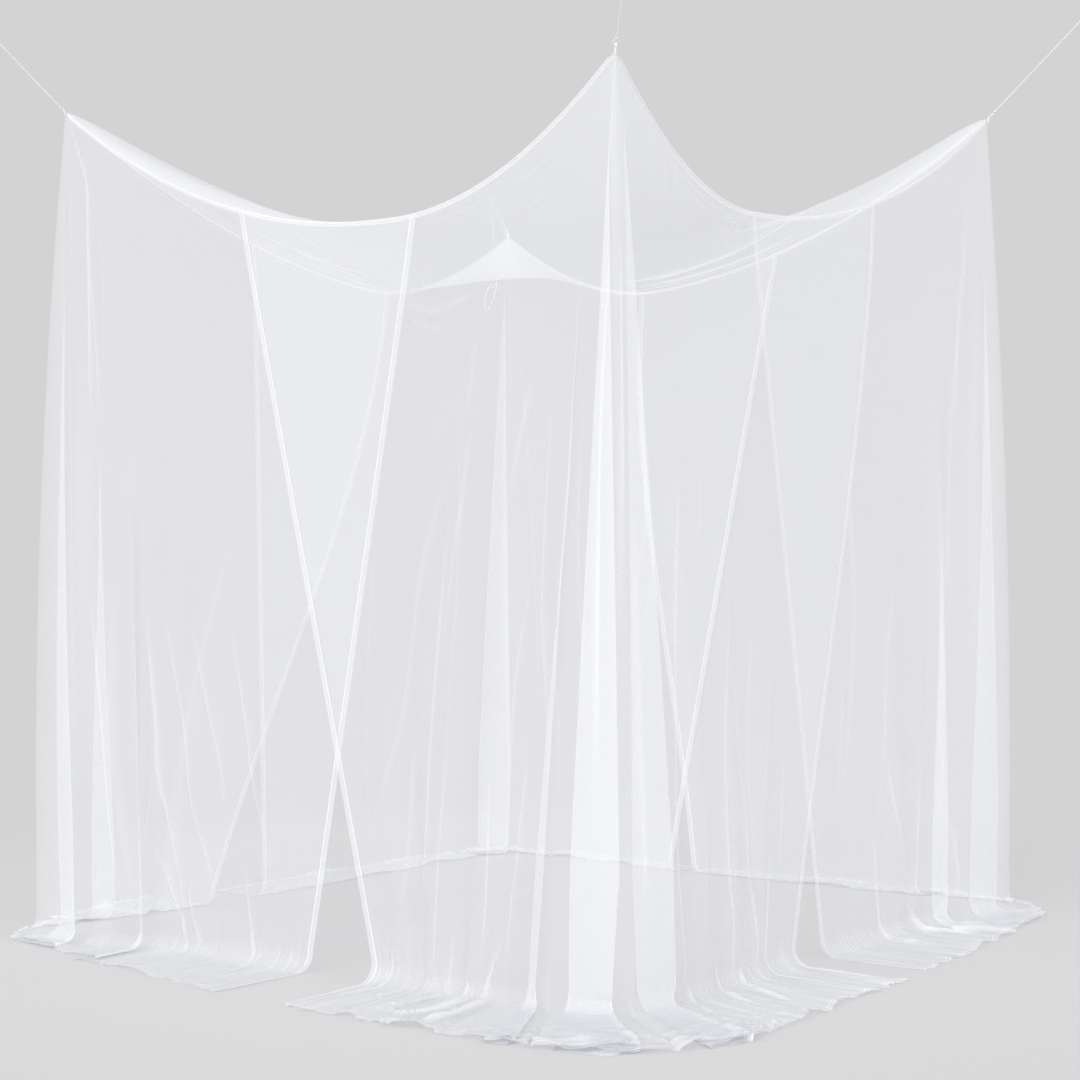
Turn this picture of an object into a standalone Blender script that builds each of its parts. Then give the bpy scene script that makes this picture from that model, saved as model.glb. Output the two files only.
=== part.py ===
"""Box-shaped mosquito net canopy, hung by its four corners, with its hem trailing on the floor.

One sagging roof panel and four wall panels, one round each corner, are sewn together under a
tape along each edge of the roof. Neighbouring wall panels overlap at the middle of each side and
part lower down. Metres, +Z up, origin on the floor under the middle of the spread hem.
"""

import math
from collections import namedtuple

import bmesh
import bpy
from mathutils import Matrix, Vector

NET = 0.0015  # thickness of the netting as a sheet
GAP = 0.0003  # air left between neighbouring pieces
TAPE_THICK = 0.002
TAPE_TALL = 0.014
TAPE_RISE = 0.003  # the tape stands this far above the seam
SEAM_TURN = 0.008  # the roof's edge is turned down this far inside the seam
ROOF_SAG = 0.035  # middle of the roof below the plane through its low sides
RIDGE_REACH = 0.8  # the lift along a diagonal is greatest this far off, counted along both sides
RIDGE_START = 0.04  # distance from a side within which it fades out
CONE_POWER = 2.6  # 2 makes a corner's cone round, more makes it square
ROLL_WIDTH = 0.05  # the roof stands highest this far inside a rolled seam
BEND = 0.05  # radius with which the walls turn out along the floor
FLOAT = 0.0006  # underside of the trailing net above the floor
LAY_DEPTH = 0.22  # share of a fold's depth that is left where it lies on the floor
PLY = 0.009  # two wall panels hang this far apart where they overlap
PLY_DROP = 0.16  # the distance below the seam at which they reach it
CORNER_ROUND = 0.001  # rounding of a wall's corner at the seam

CORD = 0.003  # diameter
CORD_SIDES = 1  # bevel resolution, which gives six sides
CORD_FREE = 0.0004  # a cord's end stays this far from what it meets
LOOP_THICK = 0.0012
LOOP_WIDE = 0.006
LOOP_SEWN = 0.012  # length of the loop's ends sewn down the corner
LOOP_NECK = 0.0035  # where its eye starts, along the pull of the cord
LOOP_EYE = 0.0125  # and where the eye turns back
EYE_OPEN = 0.005
EYE_BACK = 0.0016  # the noose passes through the eye this far short of the turn's middle
NOOSE_RADIUS = 0.007
HOOK_EYE_RADIUS = 0.010
KNOT_RADIUS = 0.0037
KNOT_ROUND = 0.0016

# A corner's hung place, the roof's low level near it, and how far its pull lifts the roof along
# the diagonal.
Corner = namedtuple("Corner", "x y z low ridge")
CORNERS = {
    "near": Corner(0.905, -0.885, 2.173, 1.858, 0.020),
    "left": Corner(-0.940, -0.885, 2.251, 1.845, 0.008),
    "right": Corner(0.880, 1.045, 2.316, 1.930, 0.008),
    "back": Corner(-0.925, 1.070, 2.125, 1.872, 0.045),
}

# Each side runs from start to end. A reach is how far a corner lifts the seam, and roll is how far
# the roof stands above the seam just inside it, most at the share roll_at of the side.
Side = namedtuple("Side", "start end start_reach end_reach roll roll_at")
SIDES = {
    "front_left": Side("near", "left", 0.66, 1.15, 0.030, 0.74),
    "front_right": Side("near", "right", 0.60, 1.28, 0.030, 0.78),
    "rear_left": Side("back", "left", 0.76, 1.53, 0.014, 0.50),
    "rear_right": Side("back", "right", 0.62, 1.28, 0.014, 0.50),
}

# A wall panel's columns, across the cloth. Runs are measured from the corner along the walls,
# negative along the panel's first side: at the seam, and where the column meets the floor. bow is
# how far it swings past the straight line between them higher up, stand how far it has moved
# out from the wall's plane at the floor, and trail the length that lies on the floor.
Column = namedtuple("Column", "cloth seam bow floor stand trail")
# A fold, by its place across the cloth: half its width, how far its layers overlap sideways,
# how deep it is at the floor, and how far below the seam it starts.
Fold = namedtuple("Fold", "cloth half overlap depth start")
# A panel's first and second side, its ply on each (1 outside, -1 inside), how widely it rounds the
# corner at the floor, and how far from the corner it still fans out where it lies.
Panel = namedtuple("Panel", "first second first_ply second_ply round spread columns folds")

PANELS = {
    "near": Panel(
        first="front_left",
        second="front_right",
        first_ply=1,
        second_ply=1,
        round=0.10,
        spread=0.75,
        columns=(
            Column(-1.32, -1.180, 0.000, -0.720, 0.000, 0.340),
            Column(-1.02, -0.860, 0.000, -0.615, 0.000, 0.355),
            Column(-0.72, -0.500, 0.000, -0.490, 0.006, 0.360),
            Column(-0.48, -0.160, 0.000, -0.350, 0.014, 0.375),
            Column(-0.32, -0.045, 0.000, -0.225, 0.020, 0.385),
            Column(0.00, 0.000, 0.000, -0.020, 0.030, 0.390),
            Column(0.32, 0.045, 0.000, 0.235, 0.020, 0.385),
            Column(0.48, 0.160, 0.000, 0.360, 0.014, 0.350),
            Column(0.76, 0.500, 0.000, 0.540, 0.006, 0.335),
            Column(1.06, 0.880, 0.020, 0.680, 0.000, 0.330),
            Column(1.37, 1.230, 0.035, 0.800, 0.000, 0.315),
        ),
        folds=(
            Fold(-1.02, 0.10, 0.000, 0.010, 0.60),
            Fold(-0.78, 0.09, 0.000, 0.020, 0.40),
            Fold(-0.54, 0.08, 0.000, 0.026, 0.30),
            Fold(-0.31, 0.08, 0.048, 0.022, 0.25),
            Fold(-0.07, 0.15, 0.105, 0.034, 0.03),
            Fold(0.20, 0.11, 0.078, 0.028, 0.03),
            Fold(0.47, 0.08, 0.000, 0.026, 0.30),
            Fold(0.68, 0.08, 0.000, 0.022, 0.40),
            Fold(0.90, 0.09, 0.000, 0.016, 0.50),
        ),
    ),
    "left": Panel(
        first="rear_left",
        second="front_left",
        first_ply=1,
        second_ply=-1,
        round=0.06,
        spread=0.35,
        columns=(
            Column(-1.42, -1.340, -0.090, -0.570, 0.000, 0.300),
            Column(-1.05, -0.900, -0.060, -0.440, 0.004, 0.280),
            Column(-0.65, -0.400, -0.020, -0.300, 0.025, 0.230),
            Column(-0.30, -0.060, 0.000, -0.140, 0.075, 0.120),
            Column(0.00, 0.000, 0.000, 0.000, 0.115, 0.065),
            Column(0.30, 0.060, 0.000, 0.160, 0.075, 0.120),
            Column(0.65, 0.440, 0.000, 0.440, 0.025, 0.240),
            Column(1.00, 0.880, 0.000, 0.700, 0.004, 0.300),
            Column(1.36, 1.260, 0.000, 0.920, 0.000, 0.330),
        ),
        folds=(
            Fold(-0.85, 0.10, 0.000, 0.020, 0.50),
            Fold(-0.40, 0.10, 0.050, 0.022, 0.25),
            Fold(0.20, 0.16, 0.118, 0.026, 0.05),
            Fold(0.53, 0.10, 0.066, 0.022, 0.25),
            Fold(0.78, 0.11, 0.000, 0.018, 0.50),
        ),
    ),
    "right": Panel(
        first="front_right",
        second="rear_right",
        first_ply=-1,
        second_ply=1,
        round=0.06,
        spread=0.35,
        columns=(
            Column(-1.46, -1.340, 0.000, -0.990, 0.000, 0.310),
            Column(-1.10, -0.940, 0.000, -0.760, 0.004, 0.295),
            Column(-0.70, -0.480, 0.000, -0.490, 0.020, 0.250),
            Column(-0.32, -0.060, 0.000, -0.180, 0.065, 0.160),
            Column(0.00, 0.000, 0.000, 0.000, 0.100, 0.090),
            Column(0.32, 0.060, 0.000, 0.160, 0.065, 0.120),
            Column(0.68, 0.440, 0.020, 0.480, 0.020, 0.170),
            Column(1.02, 0.860, 0.040, 0.780, 0.004, 0.160),
            Column(1.36, 1.250, 0.060, 1.050, 0.000, 0.150),
        ),
        folds=(
            Fold(-0.84, 0.10, 0.000, 0.018, 0.50),
            Fold(-0.56, 0.09, 0.050, 0.022, 0.30),
            Fold(-0.29, 0.17, 0.105, 0.026, 0.05),
            Fold(0.44, 0.10, 0.050, 0.022, 0.25),
            Fold(0.80, 0.10, 0.000, 0.018, 0.50),
        ),
    ),
    "back": Panel(
        first="rear_right",
        second="rear_left",
        first_ply=-1,
        second_ply=-1,
        round=0.06,
        spread=0.35,
        columns=(
            Column(-1.26, -1.090, 0.000, -0.690, 0.000, 0.150),
            Column(-0.92, -0.740, 0.000, -0.560, 0.000, 0.150),
            Column(-0.60, -0.380, 0.000, -0.400, 0.010, 0.150),
            Column(-0.30, -0.060, 0.000, -0.180, 0.020, 0.140),
            Column(0.00, 0.000, 0.000, 0.000, 0.035, 0.130),
            Column(0.30, 0.060, 0.000, 0.160, 0.020, 0.170),
            Column(0.65, 0.440, 0.000, 0.460, 0.010, 0.200),
            Column(1.02, 0.860, 0.000, 0.850, 0.000, 0.230),
            Column(1.36, 1.240, 0.000, 1.195, 0.000, 0.220),
        ),
        folds=(
            Fold(-0.68, 0.10, 0.000, 0.018, 0.50),
            Fold(-0.36, 0.10, 0.045, 0.020, 0.25),
            Fold(0.10, 0.15, 0.080, 0.024, 0.05),
            Fold(0.50, 0.10, 0.045, 0.020, 0.30),
            Fold(0.84, 0.10, 0.000, 0.016, 0.50),
        ),
    ),
}

WALL_ROWS = (0, 0.007, 0.03, 0.08, 0.16, 0.26, 0.38, 0.50, 0.62, 0.74, 0.84, 0.93, 1)
BEND_ROWS = (0.5, 1)
FLOOR_ROWS = (0.3, 0.62, 1)
TUCK_SHARES = (-1, -0.72, -0.45, 0, 0.45, 0.72, 1)
RIDGE_SHARES = (-1, 0, 1)
PLACES_APART = 0.018  # the mesh's columns are never closer than this across the cloth
PLACES_WIDE = 0.16  # nor further apart than this
ROOF_STEPS = 18
TAPE_STEPS = 20

# Where each hanging cord goes from its corner: out along the roof's diagonal, across it, and up.
Reach = namedtuple("Reach", "out across up")
CORD_ENDS = {
    "near": Reach(0.105, 0.000, 0.105),
    "left": Reach(0.210, 0.000, 0.218),
    "right": Reach(0.325, 0.000, 0.336),
    "back": Reach(0.152, 0.045, 0.153),
}
SLIDING_KNOT = 0.55  # share of the way from the back corner to its hook
HOOK_TURN = 0.0065  # radius with which the back cord turns over its hook
# The back cord hangs down again from its hook, through a knot and round an open loop.
BACK_STRAND = (
    Reach(0.159, 0.044, 0.100),
    Reach(0.159, 0.039, 0.030),
    Reach(0.158, 0.034, -0.050),
    Reach(0.157, 0.029, -0.110),
    Reach(0.157, 0.027, -0.146),
    Reach(0.157, 0.034, -0.178),
    Reach(0.158, 0.044, -0.208),
    Reach(0.158, 0.053, -0.230),
    Reach(0.158, 0.061, -0.238),
    Reach(0.158, 0.069, -0.230),
    Reach(0.157, 0.070, -0.205),
    Reach(0.156, 0.062, -0.172),
    Reach(0.156, 0.048, -0.149),
    Reach(0.156, 0.036, -0.143),
)
LOWER_KNOT = BACK_STRAND[4]


def clear_scene():
    for item in list(bpy.data.objects):
        bpy.data.objects.remove(item, do_unlink=True)


def material(name, colour, roughness):
    made = bpy.data.materials.new(name)
    made.use_nodes = True
    shader = made.node_tree.nodes["Principled BSDF"]
    shader.inputs["Base Color"].default_value = (*colour, 1)
    shader.inputs["Roughness"].default_value = roughness
    shader.inputs["Metallic"].default_value = 0
    return made


def smooth(share):
    share = min(max(share, 0.0), 1.0)
    return share * share * (3 - 2 * share)


def blend(rows, at, key):
    """One column of a table at a place between its rows, along a smooth curve through them."""
    last = len(rows) - 1
    index = 0
    while index < last - 1 and at > rows[index + 1].cloth:
        index += 1
    before, after = rows[index], rows[index + 1]
    wide = after.cloth - before.cloth
    share = (at - before.cloth) / wide

    def slope(here):
        low, high = rows[max(here - 1, 0)], rows[min(here + 1, last)]
        return (getattr(high, key) - getattr(low, key)) / (high.cloth - low.cloth)

    start, end = getattr(before, key), getattr(after, key)
    lead, trail = slope(index) * wide, slope(index + 1) * wide
    cube, square = share**3, share**2
    return (
        (2 * cube - 3 * square + 1) * start
        + (cube - 2 * square + share) * lead
        + (3 * square - 2 * cube) * end
        + (cube - square) * trail
    )


def corner_place(name):
    corner = CORNERS[name]
    return Vector((corner.x, corner.y, 0))


def side_length(name):
    side = SIDES[name]
    return (corner_place(side.end) - corner_place(side.start)).length


def cone(corner, first_away, first_reach, second_away, second_reach):
    """How far a hung corner lifts the roof at a point this far away along its two sides."""
    near = (first_away / first_reach) ** CONE_POWER + (second_away / second_reach) ** CONE_POWER
    share = max(1 - near ** (1 / CONE_POWER), 0)
    both = (first_away + second_away) / RIDGE_REACH
    beside = (first_away - second_away) / (first_away + second_away + GAP)
    ridge = both * math.exp((1 - both * both) / 2) * math.exp(-((beside / 0.45) ** 2))
    flat = min(first_away, second_away) / (min(first_away, second_away) + RIDGE_START)
    return (corner.z - corner.low) * share * share + corner.ridge * ridge * flat


def roof_height(across, along):
    """Height of the roof at shares of its two sides, counted from the near corner."""
    near, left = CORNERS["near"], CORNERS["left"]
    right, back = CORNERS["right"], CORNERS["back"]
    front_left, front_right = SIDES["front_left"], SIDES["front_right"]
    rear_left, rear_right = SIDES["rear_left"], SIDES["rear_right"]
    low = (near.low * (1 - across) + left.low * across) * (1 - along)
    low += (right.low * (1 - across) + back.low * across) * along
    low -= ROOF_SAG * 16 * across * (1 - across) * along * (1 - along)
    wide_front, wide_rear = side_length("front_left"), side_length("rear_right")
    deep_right, deep_left = side_length("front_right"), side_length("rear_left")
    return (
        low
        + cone(near, across * wide_front, front_left.start_reach,
               along * deep_right, front_right.start_reach)
        + cone(left, (1 - across) * wide_front, front_left.end_reach,
               along * deep_left, rear_left.end_reach)
        + cone(right, across * wide_rear, rear_right.end_reach,
               (1 - along) * deep_right, front_right.end_reach)
        + cone(back, (1 - across) * wide_rear, rear_right.start_reach,
               (1 - along) * deep_left, rear_left.start_reach)
    )


def seam_height(side_name, run):
    """Height of the seam at a distance along a side from the side's start."""
    share = run / side_length(side_name)
    return {
        "front_left": lambda: roof_height(share, 0),
        "front_right": lambda: roof_height(0, share),
        "rear_left": lambda: roof_height(1, 1 - share),
        "rear_right": lambda: roof_height(1 - share, 1),
    }[side_name]()


def grid_mesh(name, rows):
    """A sheet with a vertex at each point of equal rows of points."""
    sheet = bmesh.new()
    corners = [[sheet.verts.new(point) for point in row] for row in rows]
    for upper, lower in zip(corners, corners[1:]):
        for a, b, c, d in zip(upper, upper[1:], lower[1:], lower):
            sheet.faces.new((a, d, c, b))
    mesh = bpy.data.meshes.new(name)
    sheet.to_mesh(mesh)
    sheet.free()
    mesh.shade_smooth()
    return mesh


def place_object(name, data, finish, group):
    item = bpy.data.objects.new(name, data)
    data.materials.append(finish)
    group.objects.link(item)
    return item


def thicken(item, thickness):
    shell = item.modifiers.new("Thickness", "SOLIDIFY")
    shell.thickness = thickness
    shell.offset = 0


def arm_of(panel, corner_name, run):
    """The side that a signed run lies on, and that distance from the side's start."""
    side_name = panel.first if run < 0 else panel.second
    away = abs(run)
    if SIDES[side_name].start != corner_name:
        away = side_length(side_name) - away
    return side_name, away


def direction(side_name, corner_name):
    side = SIDES[side_name]
    other = side.end if side.start == corner_name else side.start
    return (corner_place(other) - corner_place(corner_name)).normalized()


def wall_frame(panel, corner_name, run, rounding):
    """Plan place on the walls' rounded line at a run, and the way out of the canopy there."""
    first, second = direction(panel.first, corner_name), direction(panel.second, corner_name)
    reach = math.hypot(run, rounding)
    back, ahead = (reach - run) / 2, (reach + run) / 2
    place = corner_place(corner_name) + first * back + second * ahead
    along = (second * ahead - first * back).normalized()
    return place, Vector((along.y, -along.x, 0))


def lying_way(panel, corner_name, run):
    """The way the cloth lies out along the floor: square to the walls, fanned round a corner."""
    first, second = direction(panel.first, corner_name), direction(panel.second, corner_name)
    turned = math.pi / 4 * math.sin(math.pi / 2 * min(abs(run) / panel.spread, 1))
    turned = math.pi / 4 + math.copysign(turned, run)
    return -(first * math.sin(turned) + second * math.cos(turned))


def fold_shift(panel, cloth, drop, wall):
    """Sideways and outward shift of the cloth by the folds near one place."""
    aside, out = 0.0, 0.0
    for fold in panel.folds:
        share = (cloth - fold.cloth) / fold.half
        if abs(share) >= 1:
            continue
        grown = max(drop - fold.start, 0) / (wall - fold.start)
        if fold.overlap:
            grown = min(grown * 1.15, 1)
            aside -= fold.overlap * grown * math.sin(math.pi * share)
            out -= fold.depth * grown * math.sin(math.pi * share)
        else:
            out += fold.depth * smooth(grown) * (1 + math.cos(math.pi * share)) / 2
    return aside, out


def ply_offset(panel, run, drop):
    """The panel's own layer in the seam, and how far it hangs clear of the one beside it."""
    ply = panel.first_ply if run < 0 else panel.second_ply
    layer = (NET + GAP) / 2 * ply
    overlapped = smooth((abs(run) - 0.35) / 0.3)
    return layer + ply * (PLY / 2 - abs(layer)) * overlapped * smooth(drop / PLY_DROP)


def panel_point(panel, corner_name, cloth, level, stage):
    """A point of a wall panel. stage 0 hangs, 1 bends and 2 lies, level is the share of it."""
    seam, floor = blend(panel.columns, cloth, "seam"), blend(panel.columns, cloth, "floor")
    side_name, away = arm_of(panel, corner_name, seam)
    top = seam_height(side_name, away)
    lie = blend(panel.columns, cloth, "trail") - BEND
    lay_out = LAY_DEPTH if stage == 2 else 1 - (1 - LAY_DEPTH) * (level if stage == 1 else 0)
    hung = (level if stage == 0 else 1) * (top - BEND)
    aside, out = fold_shift(panel, cloth, hung, top - BEND)
    fallen = hung / (top - BEND)
    bow = blend(panel.columns, cloth, "bow") * 6.75 * fallen * (1 - fallen) ** 2
    run = seam + (floor - seam) * fallen + bow + aside
    rounding = CORNER_ROUND + panel.round * hung / top
    place, outward = wall_frame(panel, corner_name, run, rounding)
    depth = sum(fold.depth for fold in panel.folds if abs(cloth - fold.cloth) < fold.half)
    below = max(hung - TAPE_TALL, 0) / (top - BEND - TAPE_TALL)
    stand = blend(panel.columns, cloth, "stand") * below * (2 - below)
    offset = ply_offset(panel, seam, hung) + stand
    under = FLOAT + NET / 2 + (depth * LAY_DEPTH if stage else 0)
    if stage == 0:
        point = place + outward * (offset + out)
        point.z = top - hung
        return point
    turn = math.pi / 2 * (level if stage == 1 else 1)
    ahead = BEND * (1 - math.cos(turn)) + (lie * level if stage == 2 else 0)
    rise = under + (BEND - under) * (1 - math.sin(turn))
    bulge = out * lay_out
    away = lying_way(panel, corner_name, run)
    point = place + outward * (offset + bulge * math.cos(turn)) + away * ahead
    point.z = rise + bulge * math.sin(turn)
    return point


def panel_cloth_places(panel):
    """Places of the mesh's columns across the cloth, close together in the overlapping folds."""
    places = [column.cloth for column in panel.columns]
    first, last = places[0], places[-1]
    for fold in panel.folds:
        for share in TUCK_SHARES if fold.overlap else RIDGE_SHARES:
            place = fold.cloth + fold.half * share
            apart = min(abs(place - other) for other in places)
            if apart > PLACES_APART and first < place < last:
                places.append(place)
    places.sort()
    filled = [places[0]]
    for place in places[1:]:
        start = filled[-1]
        count = math.ceil((place - start) / PLACES_WIDE)
        filled += [start + (place - start) * step / count for step in range(1, count + 1)]
    return filled


def make_panel(corner_name, finish, group):
    panel = PANELS[corner_name]
    places = panel_cloth_places(panel)
    levels = [(0, level) for level in WALL_ROWS]
    levels += [(1, level) for level in BEND_ROWS]
    levels += [(2, level) for level in FLOOR_ROWS]
    rows = [
        [panel_point(panel, corner_name, cloth, level, stage) for cloth in places]
        for stage, level in levels
    ]
    name = f"wall_panel_{corner_name}"
    item = place_object(name, grid_mesh(name, rows), finish, group)
    thicken(item, NET)
    return item


def roof_roll(across, along):
    """How far the roof stands above the plain shape, along the rolled seams."""
    total = 0.0
    for name, inward, share in (
        ("front_left", along, across),
        ("front_right", across, along),
        ("rear_left", 1 - across, 1 - along),
        ("rear_right", 1 - along, 1 - across),
    ):
        side = SIDES[name]
        away = inward * 1.9 / ROLL_WIDTH
        spread = math.exp(-(((share - side.roll_at) / 0.22) ** 2))
        total += side.roll * spread * away * math.exp(1 - away)
    return total


def roof_point(across, along, turned):
    """A point of the roof, or of its edge turned down inside the seam."""
    near, left = corner_place("near"), corner_place("left")
    right, back = corner_place("right"), corner_place("back")
    place = (near * (1 - across) + left * across) * (1 - along)
    place += (right * (1 - across) + back * across) * along
    inset = NET + GAP + NET / 2 + GAP
    place.x += inset if across == 1 else -inset if across == 0 else 0
    place.y += inset if along == 0 else -inset if along == 1 else 0
    place.z = roof_height(across, along) - (SEAM_TURN if turned else 0)
    place.z += 0 if turned else roof_roll(across, along)
    return place


def make_roof(finish, group):
    """A grid closest at its edges, with one more ring round it for the edge turned down."""
    shares = [(1 - math.cos(math.pi * step / ROOF_STEPS)) / 2 for step in range(ROOF_STEPS + 1)]
    shares[0], shares[-1] = 0, 1
    last = ROOF_STEPS + 2
    rows = []
    for row in range(last + 1):
        along = shares[min(max(row - 1, 0), ROOF_STEPS)]
        points = []
        for column in range(last + 1):
            across = shares[min(max(column - 1, 0), ROOF_STEPS)]
            turned = row in (0, last) or column in (0, last)
            points.append(roof_point(across, along, turned))
        rows.append(points)
    sheet = grid_mesh("roof_panel", rows)
    trim = bmesh.new()
    trim.from_mesh(sheet)
    bmesh.ops.remove_doubles(trim, verts=trim.verts, dist=0.00001)
    bmesh.ops.recalc_face_normals(trim, faces=trim.faces)
    trim.to_mesh(sheet)
    trim.free()
    item = place_object("roof_panel", sheet, finish, group)
    thicken(item, NET)
    return item


def make_tape(side_name, finish, group):
    """A flat tape along the outside of one seam, as tall sections down its sagging line."""
    side = SIDES[side_name]
    start = corner_place(side.start)
    ahead = (corner_place(side.end) - start).normalized()
    middle = (corner_place("near") + corner_place("back")) / 2
    out = Vector((ahead.y, -ahead.x, 0))
    if out.dot(start + ahead - middle) < 0:
        out = -out
    length = side_length(side_name)
    inner = (NET + GAP) / 2 + NET / 2 + GAP
    from_corner = 0.016
    tape = bmesh.new()
    sections = []
    for step in range(TAPE_STEPS + 1):
        share = (1 - math.cos(math.pi * step / TAPE_STEPS)) / 2
        run = from_corner + (length - 2 * from_corner) * share
        place = start + ahead * run
        top = seam_height(side_name, run) + TAPE_RISE
        section = []
        for offset, height in ((inner, top), (inner + TAPE_THICK, top),
                               (inner + TAPE_THICK, top - TAPE_TALL), (inner, top - TAPE_TALL)):
            section.append(tape.verts.new(place + out * offset + Vector((0, 0, height))))
        sections.append(section)
    for one, other in zip(sections, sections[1:]):
        for index in range(4):
            after = (index + 1) % 4
            tape.faces.new((one[index], one[after], other[after], other[index]))
    tape.faces.new(sections[0])
    tape.faces.new(sections[-1])
    bmesh.ops.recalc_face_normals(tape, faces=tape.faces)
    name = f"seam_tape_{side_name}"
    mesh = bpy.data.meshes.new(name)
    tape.to_mesh(mesh)
    tape.free()
    return place_object(name, mesh, finish, group)


def corner_frame(name):
    """A hung corner's place, the way out along the roof's diagonal, and the way across it."""
    corner = CORNERS[name]
    middle = sum((corner_place(other) for other in CORNERS), Vector()) / len(CORNERS)
    out = (corner_place(name) - middle).normalized()
    return Vector((corner.x, corner.y, corner.z)), out, Vector((-out.y, out.x, 0))


def reach_point(name, reach):
    place, out, across = corner_frame(name)
    return place + out * reach.out + across * reach.across + Vector((0, 0, reach.up))


def loop_middle(name):
    """How far out of its corner a loop's two sewn ends meet, the inner one against the wall."""
    layer = PANELS[name].second_ply * (NET + GAP) / 2
    wall_face = layer - CORNER_ROUND * math.sqrt(0.5) + NET / 2
    return wall_face + GAP + LOOP_THICK + CORD_FREE / 2


def pull_of(name):
    """Where the cord's line starts in the eye of its loop, and its direction."""
    place, out, _ = corner_frame(name)
    neck = place + out * loop_middle(name) + Vector((0, 0, LOOP_THICK))
    ahead = (out + Vector((0, 0, 1))).normalized()
    start = neck + ahead * (LOOP_EYE - EYE_BACK)
    return start, (reach_point(name, CORD_ENDS[name]) - start).normalized()


def loop_outline(middle):
    """The folded tape's middle line, out and up from the corner: one end, the eye, the other."""
    half = (EYE_OPEN + LOOP_THICK) / 2
    leg = (LOOP_THICK + CORD_FREE) / 2
    ahead, aside = Vector((1, 1)).normalized(), Vector((-1, 1)).normalized()
    neck = Vector((middle, LOOP_THICK))
    eye = [(LOOP_NECK, leg + 0.0004), ((LOOP_NECK + LOOP_EYE) / 2, half * 0.9), (LOOP_EYE, half)]
    upper = [neck + ahead * far + aside * wide for far, wide in eye]
    lower = [neck + ahead * far - aside * wide for far, wide in eye]
    turn = [
        neck + ahead * (LOOP_EYE + half * math.sin(angle)) + aside * half * math.cos(angle)
        for angle in (math.radians(36 * step) for step in range(1, 5))
    ]
    first = [Vector((middle - leg, -LOOP_SEWN)), Vector((middle - leg, LOOP_THICK))]
    last = [Vector((middle + leg, 0)), Vector((middle + leg, -LOOP_SEWN))]
    return first + upper + turn + lower[::-1] + last


def curve_of(name, points, dimensions="3D", ring=False):
    curve = bpy.data.curves.new(name, "CURVE")
    curve.dimensions = dimensions
    line = curve.splines.new("POLY")
    line.points.add(len(points) - 1)
    for point, place in zip(line.points, points):
        point.co = (*place.to_3d(), 1)
    line.use_cyclic_u = ring
    return curve


def make_loop(corner_name, finish, group):
    """A short tape folded in two and sewn to a corner, its eye along the pull of the cord."""
    name = f"corner_loop_{corner_name}"
    curve = curve_of(name, loop_outline(loop_middle(corner_name)), "2D")
    curve.extrude = LOOP_WIDE / 2
    item = place_object(name, curve, finish, group)
    place, out, _ = corner_frame(corner_name)
    up = Vector((0, 0, 1))
    turn = Matrix((out, up, out.cross(up))).transposed().to_4x4()
    item.matrix_world = Matrix.Translation(place) @ turn
    shell = item.modifiers.new("Thickness", "SOLIDIFY")
    shell.thickness = LOOP_THICK
    shell.offset = 0
    shell.use_even_offset = True


def cord_object(name, points, finish, group, radius=CORD / 2, ring=False):
    curve = curve_of(name, points, ring=ring)
    curve.bevel_depth = radius
    curve.bevel_resolution = CORD_SIDES
    curve.use_fill_caps = not ring
    return place_object(name, curve, finish, group)


def circle(centre, one, other, radius, steps):
    """Points round a circle, from its side away from the first direction."""
    turns = [2 * math.pi * step / steps for step in range(steps)]
    return [centre + (other * math.sin(turn) - one * math.cos(turn)) * radius for turn in turns]


def make_knot(name, place, ahead, finish, group):
    """A knot drawn tight round its cord."""
    side = ahead.orthogonal().normalized()
    points = circle(place, side, ahead.cross(side), KNOT_RADIUS, 8)
    cord_object(name, points, finish, group, KNOT_ROUND, ring=True)


def flowing(points, steps):
    """Points along a smooth curve through these points."""
    found = [points[0]]
    for index in range(len(points) - 1):
        before, start = points[max(index - 1, 0)], points[index]
        end, after = points[index + 1], points[min(index + 2, len(points) - 1)]
        for step in range(1, steps + 1):
            share = step / steps
            found.append(
                (2 * start + (end - before) * share
                 + (2 * before - 5 * start + 4 * end - after) * share**2
                 + (3 * start - before - 3 * end + after) * share**3) / 2
            )
    return found


def hook_turn(ahead, top):
    """The back cord's turn over its hook: it comes up along ahead and leaves straight down."""
    flat = Vector((ahead.x, ahead.y, 0)).normalized()
    rise = math.asin(ahead.z)
    middle = top - Vector((0, 0, HOOK_TURN))
    angles = [math.pi / 2 + rise - (math.pi / 2 + rise) * step / 5 for step in range(6)]
    return [
        middle + (flat * math.cos(angle) + Vector((0, 0, math.sin(angle)))) * HOOK_TURN
        for angle in angles
    ]


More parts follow.
